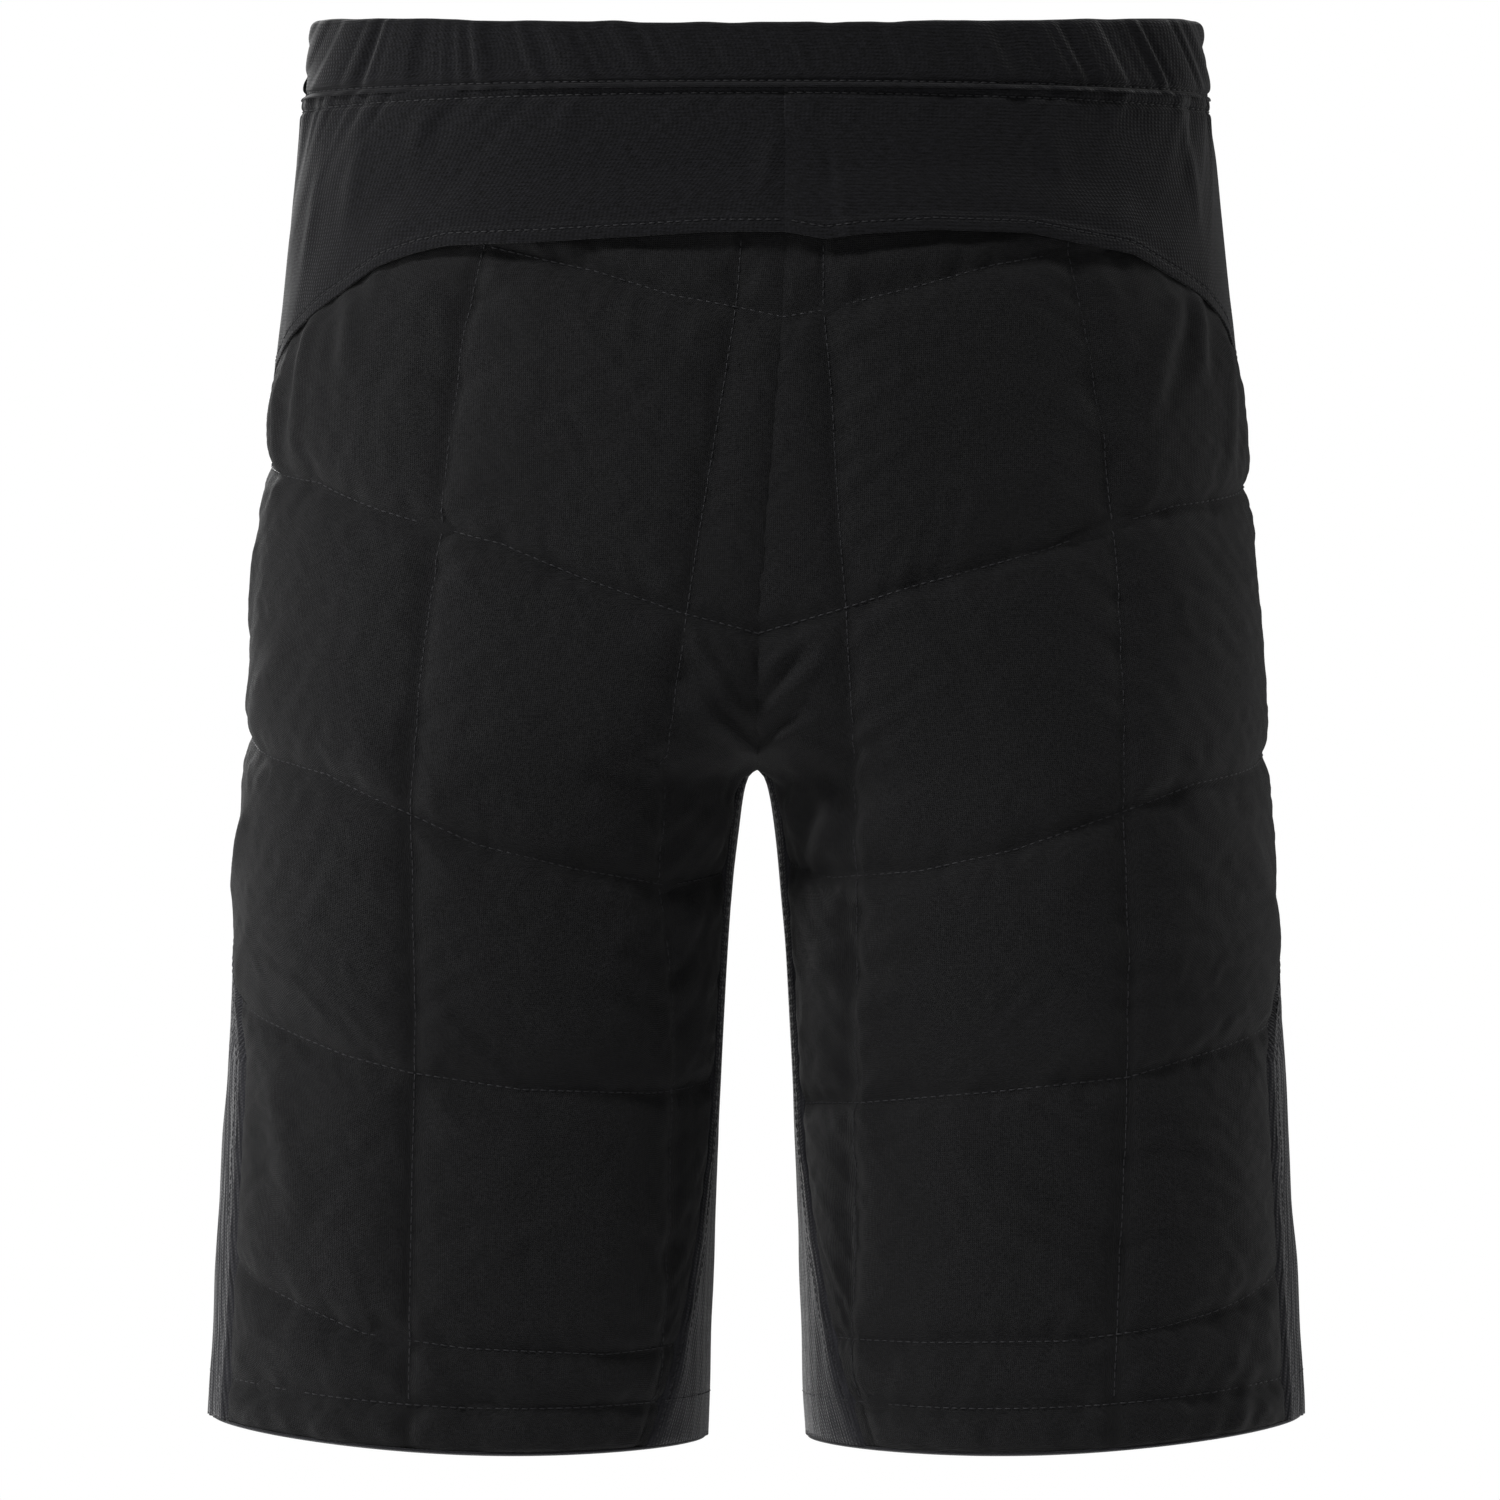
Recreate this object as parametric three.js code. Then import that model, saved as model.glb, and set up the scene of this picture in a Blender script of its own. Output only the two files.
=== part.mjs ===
// Quilted, insulated knee-length shorts in the shape they take when worn.
// Millimetres, +Z up. The origin is the centre of the waist opening, level with the waistband's top edge.
// The front faces -Y and the wearer's left is +X.
// Each quilted panel is a sandwich of shell, padding and lining. A knitted yoke joins the panels to the
// waistband, and knitted inserts run down the outer side and the inner side of each leg.
// The legs swing about one line through the crotch. What crosses that bend is parted on a cylinder round it.
import * as THREE from 'three';

// Lengths down from the waistband's top edge
const outseam = 583;
const crotchDrop = 314;
const hemDrop = 9;               // how much lower the hem is at the inner side of the leg
const hemDip = 8;                // how much lower still it hangs at the front and back of the leg

// Widths seen from the front
const waistWidth = 370;
const hipWidth = 428;
const hemSpan = 458;             // over both legs at the hem
const hemParting = 40;           // between the two legs at the hem
const hipRounding = 0.1;         // share by which the side seam bows out between waist and crotch

// Depths of the worn shape, from the side seam forwards and backwards
const front = { waist: 98, fullest: 108, fullestDrop: 150, hem: 82 };
const back = { waist: 98, fullest: 128, fullestDrop: 190, hem: 78 };

const sectionPower = 2.3;        // 2 is an ellipse, and more is squarer
const partingHeight = 150;       // the torso starts to part into two legs this far above the crotch
const partingRoundPower = 1.5;   // how gently that parting starts
const partingPower = 0.4;        // how quickly the legs stand apart below the crotch
const thighEasePower = 1.5;      // how late the depth narrows towards the hem

// Waistband
const casingHeight = 30;
const casingWall = 1.2;
const elasticThickness = 1.6;
const elasticHeight = 22;
const labelHeight = 24;
const labelThickness = 0.6;
const labelWidth = 40;

// Yoke
const yokeDrop = 91;             // at the centre
const yokeSideDrop = 150;        // at the side seam
const yokeCurvePower = 2.5;
const jerseyThickness = 1.2;

// Quilted panels
const shellThickness = 0.9;
const paddingThickness = 5;
const liningThickness = 0.8;

// Inserts: half of their width, as an angle round the leg
const sideInsertHalfAngle = THREE.MathUtils.degToRad(26);
const sideInsertBelowCrotch = 46;
const sideInsertTaper = 80;
const innerInsertHalfAngle = THREE.MathUtils.degToRad(16);
const innerInsertHemAngle = THREE.MathUtils.degToRad(40);
const innerInsertFlareBelowCrotch = 131;
const innerInsertFlarePower = 1.4;

// Hem
const facingHeight = 18;
const facingThickness = 1;

// Clearances
const layerGap = 0.3;            // between layers that lie on each other
const seamGap = 0.5;             // between pieces sewn edge to edge
const bendGap = 0.95;            // between the pieces above and below the bend
const bendMargin = 12;           // the bend's radius beyond the fullest depth
const bendPrecision = 1e-7;      // to which the height of the bend is found

// Mesh steps
const panelColumns = 8;
const rowsAboveCrotch = 6;
const rowsToBend = 4;
const sideInsertFirstRow = 2;    // of the rows from the crotch to the bend
const rowsToHem = 5;
const yokeRows = 3;
const insertColumns = 2;
const casingColumns = 20;

const quiltThickness = shellThickness + paddingThickness + liningThickness + 2 * layerGap;
const casingThickness = 2 * (casingWall + layerGap) + elasticThickness;
const bendRadius = Math.max(front.fullest, back.fullest) + bendMargin;
const seamAngle = seamGap / 2 / Math.min(front.hem, back.hem);

const { lerp, smoothstep } = THREE.MathUtils;

// ---------------------------------------------------------------- the worn shape

function halfWidth(z) {
  if (z > -crotchDrop) {
    const down = Math.max(0, -z / crotchDrop);
    return lerp(waistWidth, hipWidth, down + hipRounding * Math.sin(Math.PI * down)) / 2;
  }
  return lerp(hipWidth, hemSpan, (-crotchDrop - z) / (outseam - crotchDrop)) / 2;
}

function halfDepth(z, face) {
  if (z > -face.fullestDrop) {
    return lerp(face.waist, face.fullest, smoothstep(-z, 0, face.fullestDrop));
  }
  const down = (-face.fullestDrop - z) / (outseam - face.fullestDrop);
  return lerp(face.fullest, face.hem, down ** thighEasePower);
}

// Where the inner side of one leg's tube stands from the centre plane. It is negative above the crotch,
// where the two tubes run into each other, and reaches the far side of the torso where they are one.
function innerSide(z) {
  if (z > -crotchDrop) {
    const up = Math.min(1, (z + crotchDrop) / partingHeight);
    return -halfWidth(z) * (1 - (1 - up) ** partingRoundPower);
  }
  const down = (-crotchDrop - z) / (outseam - crotchDrop);
  return hemParting / 2 * down ** partingPower;
}

// A point on the worn surface, or inset from it. The angle runs round one leg's tube: 0 at the outer side,
// a quarter turn at the front, half a turn at the inner side, and negative round the back.
function surfacePoint(side, z, angle, inset) {
  const outer = halfWidth(z);
  const inner = innerSide(z);
  const c = Math.cos(angle);
  const s = Math.sin(angle);
  const face = s >= 0 ? front : back;
  const k = (Math.abs(c) ** sectionPower + Math.abs(s) ** sectionPower) ** (-1 / sectionPower);
  const x = (outer + inner) / 2 + ((outer - inner) / 2 - inset) * c * k;
  return new THREE.Vector3(side * x, -(halfDepth(z, face) - inset) * s * k, z);
}

// The angle at which one half's surface comes to the centre seam.
function centreAngle(z, inset) {
  const outer = halfWidth(z);
  const inner = innerSide(z);
  const across = (seamGap / 2 - (outer + inner) / 2) / ((outer - inner) / 2 - inset);
  if (across <= -1) return Math.PI;
  const along = (1 - Math.abs(across) ** sectionPower) ** (1 / sectionPower);
  return Math.atan2(along, across);
}

function yokeHeight(angle) {
  const fromFront = Math.abs(1 - Math.abs(angle) / (Math.PI / 2));
  return -lerp(yokeDrop, yokeSideDrop, fromFront ** yokeCurvePower);
}

function hemHeight(angle) {
  return -outseam - hemDrop * (1 - Math.cos(angle)) / 2 - hemDip * Math.sin(angle) ** 2;
}

function sideInsertAngle(z) {
  const start = crotchDrop + sideInsertBelowCrotch;
  return sideInsertHalfAngle * smoothstep(-z, start, start + sideInsertTaper);
}

function innerInsertAngle(z) {
  const start = crotchDrop + innerInsertFlareBelowCrotch;
  const flare = Math.max(0, (-z - start) / (outseam - start));
  return lerp(innerInsertHalfAngle, innerInsertHemAngle, flare ** innerInsertFlarePower);
}

// The height at which a line down the surface crosses the cylinder round the bend.
function bendHeight(pointAt, radius) {
  let low = -crotchDrop - radius;
  let high = -crotchDrop;
  while (high - low > bendPrecision) {
    const middle = (low + high) / 2;
    const fromAxis = Math.hypot(pointAt(middle).y, middle + crotchDrop);
    if (fromAxis > radius) low = middle;
    else high = middle;
  }
  return (low + high) / 2;
}

// ---------------------------------------------------------------- solids

function solidFrom(points, triangles) {
  const volume = triangles.reduce((sum, [a, b, c]) => {
    const cross = new THREE.Vector3().crossVectors(points[b], points[c]);
    return sum + points[a].dot(cross);
  }, 0);
  const facingOut = volume > 0 ? triangles : triangles.map(([a, b, c]) => [a, c, b]);
  const geometry = new THREE.BufferGeometry().setFromPoints(points);
  geometry.setIndex(facingOut.flat());
  geometry.computeVertexNormals();
  return geometry;
}

// A sheet of even thickness. pointAt(across, down, inset) gives a point for shares of the width and length.
function sheetSolid(columns, rows, pointAt, outerInset, innerInset) {
  const points = [];
  const triangles = [];
  const index = (layer, i, j) => (layer * (rows + 1) + j) * (columns + 1) + i;
  for (const inset of [outerInset, innerInset]) {
    for (let j = 0; j <= rows; j += 1) {
      for (let i = 0; i <= columns; i += 1) points.push(pointAt(i / columns, j / rows, inset));
    }
  }
  const quad = (a, b, c, d) => triangles.push([a, b, c], [a, c, d]);
  for (let j = 0; j < rows; j += 1) {
    for (let i = 0; i < columns; i += 1) {
      quad(index(0, i, j), index(0, i + 1, j), index(0, i + 1, j + 1), index(0, i, j + 1));
      quad(index(1, i, j), index(1, i, j + 1), index(1, i + 1, j + 1), index(1, i + 1, j));
    }
  }
  for (let i = 0; i < columns; i += 1) {
    quad(index(0, i, 0), index(1, i, 0), index(1, i + 1, 0), index(0, i + 1, 0));
    quad(index(0, i, rows), index(0, i + 1, rows), index(1, i + 1, rows), index(1, i, rows));
  }
  for (let j = 0; j < rows; j += 1) {
    quad(index(0, 0, j), index(0, 0, j + 1), index(1, 0, j + 1), index(1, 0, j));
    quad(index(0, columns, j), index(1, columns, j), index(1, columns, j + 1), index(0, columns, j + 1));
  }
  return solidFrom(points, triangles);
}

// A section swept along a path. sections is a list of point rings; outline is the flat form of one ring,
// which closes the two ends. With no outline the last ring joins the first.
function sweptSolid(sections, outline) {
  const ring = sections[0].length;
  const steps = outline ? sections.length - 1 : sections.length;
  const triangles = [];
  for (let i = 0; i < steps; i += 1) {
    const here = i * ring;
    const next = ((i + 1) % sections.length) * ring;
    for (let j = 0; j < ring; j += 1) {
      const k = (j + 1) % ring;
      triangles.push([here + j, next + j, next + k], [here + j, next + k, here + k]);
    }
  }
  if (outline) {
    const last = steps * ring;
    for (const [a, b, c] of THREE.ShapeUtils.triangulateShape(outline, [])) {
      triangles.push([a, b, c], [last + a, last + c, last + b]);
    }
  }
  return solidFrom(sections.flat(), triangles);
}

// ---------------------------------------------------------------- materials

const finish = (color, roughness) => ({ color, roughness, metalness: 0 });
const finishes = {
  shell: finish(0x1c1b1d, 0.86),
  padding: finish(0xdfddd6, 0.95),
  lining: finish(0x1b1b1d, 0.8),
  jersey: finish(0x1f1f24, 0.92),
  elastic: finish(0x18181a, 0.8),
  label: finish(0x2b2b2e, 0.85),
};

const group = new THREE.Group();

function addPiece(name, geometry, finishName) {
  const mesh = new THREE.Mesh(geometry, new THREE.MeshStandardMaterial(finishes[finishName]));
  mesh.name = name;
  group.add(mesh);
}

// ---------------------------------------------------------------- waistband

// The casing is a strip folded over the elastic, open along its lower edge, with a seam at each side.
const casingOutline = [
  [casingWall, -casingHeight],
  [casingWall, -casingWall],
  [casingThickness - casingWall, -casingWall],
  [casingThickness - casingWall, -casingHeight],
  [casingThickness, -casingHeight],
  [casingThickness, 0],
  [0, 0],
  [0, -casingHeight],
].map(([inset, z]) => new THREE.Vector2(inset, z));

// The waistband's wall is straight from top to bottom, and what lies in or on it follows that.
function waistbandPoint(z, angle, inset) {
  const rim = surfacePoint(1, 0, angle, inset);
  const base = surfacePoint(1, -casingHeight, angle, inset);
  return rim.lerp(base, -z / casingHeight);
}

for (const [face, turn] of [['front', 1], ['back', -1]]) {
  const sections = [];
  for (let i = 0; i <= casingColumns; i += 1) {
    const angle = turn * lerp(seamAngle, Math.PI - seamAngle, i / casingColumns);
    sections.push(casingOutline.map((p) => waistbandPoint(p.y, angle, p.x)));
  }
  addPiece(`waistband_casing_${face}`, sweptSolid(sections, casingOutline), 'jersey');
}

// One upright section of a band: its outer face, then its inner face. pointAt(z, inset) is on its line.
function bandSection(pointAt, top, bottom, inset, thickness) {
  return [
    pointAt(bottom, inset),
    pointAt(top, inset),
    pointAt(top, inset + thickness),
    pointAt(bottom, inset + thickness),
  ];
}

const elasticInset = casingWall + layerGap;
const elasticSections = [];
for (let i = 0; i < 2 * casingColumns; i += 1) {
  const pointAt = (z, inset) => waistbandPoint(z, Math.PI * i / casingColumns, inset);
  elasticSections.push(
    bandSection(pointAt, -elasticInset, -elasticInset - elasticHeight, elasticInset, elasticThickness),
  );
}
addPiece('waist_elastic', sweptSolid(elasticSections), 'elastic');

// The blank label lies on the inside of the back casing, at the centre.
const labelTop = -(casingHeight - labelHeight) / 2;
const labelHalfAngle = labelWidth / waistWidth;
addPiece('waist_label', sheetSolid(insertColumns, 1, (across, down, inset) => {
  const angle = -Math.PI / 2 + lerp(-labelHalfAngle, labelHalfAngle, across);
  return waistbandPoint(labelTop - down * labelHeight, angle, inset);
}, casingThickness + layerGap, casingThickness + layerGap + labelThickness), 'label');

// ---------------------------------------------------------------- yoke

const yokeTop = -casingHeight - seamGap;

function yokePoint(side, turn) {
  return (across, down, inset) => {
    const angle = lerp(seamAngle, centreAngle(yokeTop, inset), across);
    const z = lerp(yokeTop, yokeHeight(angle), down);
    return surfacePoint(side, z, turn * angle, inset);
  };
}

// ---------------------------------------------------------------- quilted panels

// A panel reaches from the side seam, or the side insert, to the centre seam above the crotch and to the
// inner insert below it.
function panelAngle(z, across, inset) {
  const outerEdge = sideInsertAngle(z) + seamAngle;
  const besideInsert = Math.PI - innerInsertAngle(z) - seamAngle;
  const innerEdge = z > -crotchDrop ? Math.min(centreAngle(z, inset), besideInsert) : besideInsert;
  return lerp(outerEdge, innerEdge, across);
}

function panelLine(side, turn, across, inset) {
  return (z) => surfacePoint(side, z, turn * panelAngle(z, across, inset), inset);
}

function upperPanelPoint(side, turn) {
  return (across, down, inset) => {
    const line = panelLine(side, turn, across, inset);
    const top = yokeHeight(panelAngle(-yokeDrop, across, inset)) - seamGap;
    const bottom = bendHeight(line, bendRadius - bendGap / 2);
    const row = down * (rowsAboveCrotch + rowsToBend);
    if (row <= rowsAboveCrotch) return line(lerp(top, -crotchDrop, row / rowsAboveCrotch));
    return line(lerp(-crotchDrop, bottom, (row - rowsAboveCrotch) / rowsToBend));
  };
}

function lowerPanelPoint(side, turn) {
  return (across, down, inset) => {
    const line = panelLine(side, turn, across, inset);
    const top = bendHeight(line, bendRadius + bendGap / 2);
    const bottom = hemHeight(panelAngle(-outseam, across, inset));
    return line(lerp(top, bottom, down));
  };
}

const paddingInset = shellThickness + layerGap;
const liningInset = paddingInset + paddingThickness + layerGap;
const layers = [
  ['shell', 0, shellThickness],
  ['padding', paddingInset, paddingThickness],
  ['lining', liningInset, liningThickness],
];

// ---------------------------------------------------------------- inserts and hem facings

// An insert is centred on the outer side (middle 0) or on the inner side (middle half a turn). Its rows lie
// level with those of the panels that it is sewn to.
function insertAngle(insert, z, across) {
  const halfAngle = insert.halfAngleAt(z) - seamAngle;
  return insert.middle + lerp(-halfAngle, halfAngle, across);
}

function insertLine(side, insert, across, inset) {
  return (z) => surfacePoint(side, z, insertAngle(insert, z, across), inset);
}

function upperInsertPoint(side, insert) {
  return (across, down, inset) => {
    const line = insertLine(side, insert, across, inset);
    const bottom = bendHeight(line, bendRadius - bendGap / 2);
    const top = lerp(-crotchDrop, bottom, insert.firstRow / rowsToBend) - seamGap;
    return line(lerp(top, bottom, down));
  };
}

function lowerInsertPoint(side, insert) {
  return (across, down, inset) => {
    const line = insertLine(side, insert, across, inset);
    const top = bendHeight(line, bendRadius + bendGap / 2);
    return line(lerp(top, hemHeight(insertAngle(insert, -outseam, across)), down));
  };
}

const sideInsert = { place: 'side', middle: 0, halfAngleAt: sideInsertAngle, firstRow: sideInsertFirstRow };
const innerInsert = { place: 'inner', middle: Math.PI, halfAngleAt: innerInsertAngle, firstRow: 0 };

// The hem facing runs all round the leg, against the panels and behind the inserts, column for column.
function facingAngles() {
  const panelShares = Array.from({ length: panelColumns + 1 }, (_, i) => i / panelColumns);
  const insertShares = Array.from({ length: insertColumns - 1 }, (_, i) => (i + 1) / insertColumns);
  const acrossPanel = (turn) => panelShares.map((across) => (z) => turn * panelAngle(z, across, 0));
  const acrossInsert = (insert) => insertShares.map((across) => (z) => insertAngle(insert, z, across));
  return [
    ...acrossPanel(1),
    ...acrossInsert(innerInsert),
    ...acrossPanel(-1).reverse(),
    ...acrossInsert(sideInsert),
  ];
}

for (const [hand, side] of [['left', 1], ['right', -1]]) {
  for (const [face, turn] of [['front', 1], ['back', -1]]) {
    const yoke = sheetSolid(panelColumns, yokeRows, yokePoint(side, turn), 0, jerseyThickness);
    addPiece(`yoke_${face}_${hand}`, yoke, 'jersey');
    for (const [layer, inset, thickness] of layers) {
      const upper = sheetSolid(
        panelColumns, rowsAboveCrotch + rowsToBend, upperPanelPoint(side, turn), inset, inset + thickness,
      );
      addPiece(`${face}_${layer}_hip_${hand}`, upper, layer);
      const lower = sheetSolid(
        panelColumns, rowsToHem, lowerPanelPoint(side, turn), inset, inset + thickness,
      );
      addPiece(`${face}_${layer}_leg_${hand}`, lower, layer);
    }
  }
  for (const insert of [sideInsert, innerInsert]) {
    const upperRows = rowsToBend - insert.firstRow;
    const upper = sheetSolid(
      insertColumns, upperRows, upperInsertPoint(side, insert), 0, jerseyThickness,
    );
    addPiece(`${insert.place}_insert_hip_${hand}`, upper, 'jersey');
    const lower = sheetSolid(
      insertColumns, rowsToHem, lowerInsertPoint(side, insert), 0, jerseyThickness,
    );
    addPiece(`${insert.place}_insert_leg_${hand}`, lower, 'jersey');
  }
  const facing = facingAngles().map((angleAt) => {
    const hem = hemHeight(angleAt(-outseam));
    const pointAt = (z, inset) => surfacePoint(side, z, angleAt(z), inset);
    return bandSection(pointAt, hem + facingHeight, hem, quiltThickness + layerGap, facingThickness);
  });
  addPiece(`hem_facing_${hand}`, sweptSolid(facing), 'jersey');
}

export default group;
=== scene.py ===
import math

import bpy
import numpy as np
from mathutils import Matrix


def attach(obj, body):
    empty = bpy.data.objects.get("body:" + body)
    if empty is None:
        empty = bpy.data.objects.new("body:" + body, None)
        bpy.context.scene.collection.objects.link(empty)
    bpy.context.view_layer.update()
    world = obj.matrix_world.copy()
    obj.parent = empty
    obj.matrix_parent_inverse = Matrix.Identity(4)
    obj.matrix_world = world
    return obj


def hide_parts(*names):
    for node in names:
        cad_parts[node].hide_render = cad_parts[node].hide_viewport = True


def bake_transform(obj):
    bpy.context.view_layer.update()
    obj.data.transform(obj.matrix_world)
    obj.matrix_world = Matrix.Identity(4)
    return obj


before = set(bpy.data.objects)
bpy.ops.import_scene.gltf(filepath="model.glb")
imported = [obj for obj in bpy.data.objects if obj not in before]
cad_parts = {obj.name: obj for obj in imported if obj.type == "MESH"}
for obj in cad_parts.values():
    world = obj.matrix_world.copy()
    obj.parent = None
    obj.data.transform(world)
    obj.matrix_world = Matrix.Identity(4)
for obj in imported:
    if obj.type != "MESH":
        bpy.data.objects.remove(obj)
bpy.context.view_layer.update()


# Studio
# The shorts hang in the shape of the wearer against white, seen level from straight in front through a long
# lens, above a pale floor. White surroundings and soft lamps light them, the strongest from the upper left.
def linear(colour):
    """An sRGB hex colour as linear values."""
    parts = [int(colour[i : i + 2], 16) / 255 for i in (1, 3, 5)]
    return [p / 12.92 if p <= 0.04045 else ((p + 0.055) / 1.055) ** 2.4 for p in parts] + [1.0]


def wire(node, wires):
    """Sets a node's sockets to values, or joins them to other nodes' outputs."""
    for socket, value in wires.items():
        if isinstance(value, bpy.types.NodeSocket):
            node.id_data.links.new(value, node.inputs[socket])
        else:
            node.inputs[socket].default_value = value


def add(tree, kind, wires, **settings):
    """A new node with its settings and its sockets wired."""
    made = tree.nodes.new(kind)
    for name, value in settings.items():
        setattr(made, name, value)
    wire(made, wires)
    return made


def start_material(name):
    """A new material, with its node tree and its shader."""
    made = bpy.data.materials.new(name)
    made.use_nodes = True
    return made, made.node_tree, made.node_tree.nodes["Principled BSDF"]


scene = bpy.context.scene
scene.view_settings.view_transform = "Standard"

VIEW_DISTANCE = 6.0
VIEW_WIDTH = 0.628
EYE = (-0.0027, -VIEW_DISTANCE, -0.305)

lens = bpy.data.cameras.new("camera")
lens.sensor_width = 36
lens.lens = 36 * VIEW_DISTANCE / VIEW_WIDTH
lens.clip_end = 60
camera = bpy.data.objects.new("camera", lens)
camera.location = EYE
camera.rotation_euler = (math.radians(90), 0, 0)
scene.collection.objects.link(camera)
scene.camera = camera

FLOOR_HEIGHT = -1.0
FLOOR_SIDE = 4.0

floor_mesh = bpy.data.meshes.new("floor")
reach = FLOOR_SIDE / 2
floor_mesh.from_pydata(
    [(-reach, -reach, FLOOR_HEIGHT), (reach, -reach, FLOOR_HEIGHT), (reach, reach, FLOOR_HEIGHT),
     (-reach, reach, FLOOR_HEIGHT)],
    [],
    [(0, 1, 2, 3)],
)
floor = bpy.data.objects.new("floor", floor_mesh)
scene.collection.objects.link(floor)
matte_paint, _, finish = start_material("matte white paint")
wire(finish, {"Base Color": linear("#f2f2f2"), "Roughness": 0.9})
floor_mesh.materials.append(matte_paint)

SURROUNDINGS = 0.12             # how brightly the white surroundings light the shorts

surroundings = bpy.data.worlds.new("white surroundings")
surroundings.use_nodes = True
tree = surroundings.node_tree
seen = add(tree, "ShaderNodeLightPath", {}).outputs["Is Camera Ray"]
brightness = add(tree, "ShaderNodeMapRange", {"Value": seen, "To Min": SURROUNDINGS, "To Max": 1.0})
wire(tree.nodes["Background"], {"Color": (1, 1, 1, 1), "Strength": brightness.outputs["Result"]})
scene.world = surroundings

SHORTS_MIDDLE = (0, 0, -0.3)

for lamp_name, place, side_length, watts in [
    ("main_lamp", (-1.8, -1.8, 2.7), 0.8, 135),
    ("front_lamp", (-0.6, -3.4, 0.4), 1.2, 13),
    ("left_lamp", (-2.8, 0.0, -0.5), 1.2, 50),
    ("right_lamp", (2.6, 0.9, 0.1), 1.4, 30),
    ("back_lamp", (-0.9, 3.0, 1.0), 1.2, 110),
]:
    lamp_data = bpy.data.lights.new(lamp_name, "AREA")
    lamp_data.size = side_length
    lamp_data.energy = watts
    lamp = bpy.data.objects.new(lamp_name, lamp_data)
    lamp.location = place
    aim = np.array(SHORTS_MIDDLE) - np.array(place)
    lamp.rotation_euler = (math.acos(-aim[2] / np.linalg.norm(aim)), 0, math.atan2(-aim[0], aim[1]))
    scene.collection.objects.link(lamp)


# Quilted panels
# Each panel is a matte woven shell over light padding, stitched through in rows and in two upright lines, so
# that it stands up between the stitches and puckers along them. One panel runs from yoke to hem in one piece,
# and the left and right ones meet in the centre seam.
MM = 0.001
OUTSEAM = 583 * MM
CROTCH = 314 * MM
WAIST_WIDTH = 370 * MM
HIP_WIDTH = 428 * MM
HEM_SPAN = 458 * MM
HEM_PARTING = 40 * MM
HIP_ROUNDING = 0.1
PARTING_HEIGHT = 150 * MM
PARTING_ROUND_POWER = 1.5
PARTING_POWER = 0.4
THIGH_EASE_POWER = 1.5
SECTION_POWER = 2.3
# Depth from the side seam at the waist, at its fullest, how far down that is, and at the hem
DEPTHS = {1: (98 * MM, 108 * MM, 150 * MM, 82 * MM), -1: (98 * MM, 128 * MM, 190 * MM, 78 * MM)}
# The centre seam leans towards the wearer's left above the crotch
SEAM_LEAN = 12 * MM
LEAN_TOP = 80 * MM
LEAN_END = 290 * MM
LEAN_WIDTH = 50 * MM
SEAM_LAP = 1.2 * MM             # how far the pieces run on into a side seam
CENTRE_LAP = 0.9 * MM           # the same at the centre seam
CROTCH_LAP = 5 * MM             # and at the crotch, where the cloth of both legs bunches
CROTCH_LAP_SPREAD = (CROTCH - 110 * MM, CROTCH - 40 * MM)
SIDE_INSERT_HALF = math.radians(26)
SIDE_INSERT_OPENING = (CROTCH + 46 * MM, CROTCH + 126 * MM)
INNER_INSERT_HALF = (math.radians(16), math.radians(40))
FLARE_START = CROTCH + 131 * MM
FLARE_POWER = 1.4
HEM_SLOPE = 9 * MM              # how much lower the hem hangs at the inner side than at the outer side
HEM_BOW = 8 * MM                # and at the front and back


def mix(a, b, share):
    return a + (b - a) * share


def ease(value, start, end):
    t = np.clip((value - start) / (end - start), 0, 1)
    return t * t * (3 - 2 * t)


def half_width(z):
    down = np.clip(-z / CROTCH, 0, 1)
    above = mix(WAIST_WIDTH, HIP_WIDTH, down + HIP_ROUNDING * np.sin(np.pi * down)) / 2
    below = mix(HIP_WIDTH, HEM_SPAN, (-CROTCH - z) / (OUTSEAM - CROTCH)) / 2
    return np.where(z > -CROTCH, above, below)


def half_depth(z, face):
    waist, fullest, fullest_drop, hem = DEPTHS[face]
    above = mix(waist, fullest, ease(-z, 0, fullest_drop))
    down = np.clip((-fullest_drop - z) / (OUTSEAM - fullest_drop), 0, None)
    return np.where(z > -fullest_drop, above, mix(fullest, hem, down**THIGH_EASE_POWER))


def inner_side(z):
    up = np.clip((z + CROTCH) / PARTING_HEIGHT, 0, 1)
    down = np.clip((-CROTCH - z) / (OUTSEAM - CROTCH), 0, None)
    above = -half_width(z) * (1 - (1 - up) ** PARTING_ROUND_POWER)
    return np.where(z > -CROTCH, above, HEM_PARTING / 2 * down**PARTING_POWER)


def worn(side, face, z, angle, proud):
    """Points on one half's worn surface or proud of it, at angles from 0 (outer side) to pi (inner side)."""
    z, angle, proud = np.broadcast_arrays(*(np.asarray(v, float) for v in (z, angle, proud)))
    outer, inner = half_width(z), inner_side(z)
    c, s = np.cos(angle), np.sin(angle)
    k = (np.abs(c) ** SECTION_POWER + np.abs(s) ** SECTION_POWER) ** (-1 / SECTION_POWER)
    x = side * ((outer + inner) / 2 + ((outer - inner) / 2 + proud) * c * k)
    y = -face * (half_depth(z, face) + proud) * s * k
    if face == 1:
        lean = SEAM_LEAN * (1 - ease(-z, LEAN_TOP, LEAN_END))
        x = x + lean * np.exp(-((x / LEAN_WIDTH) ** 2))
    return np.stack([x, y, z], -1)


def angle_at(z, x):
    """The angle at which one half's surface stands this far from the centre plane."""
    outer, inner = half_width(z), inner_side(z)
    across = np.clip((x - (outer + inner) / 2) / ((outer - inner) / 2), -1, 1)
    return np.arctan2((1 - np.abs(across) ** SECTION_POWER) ** (1 / SECTION_POWER), across)


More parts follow.
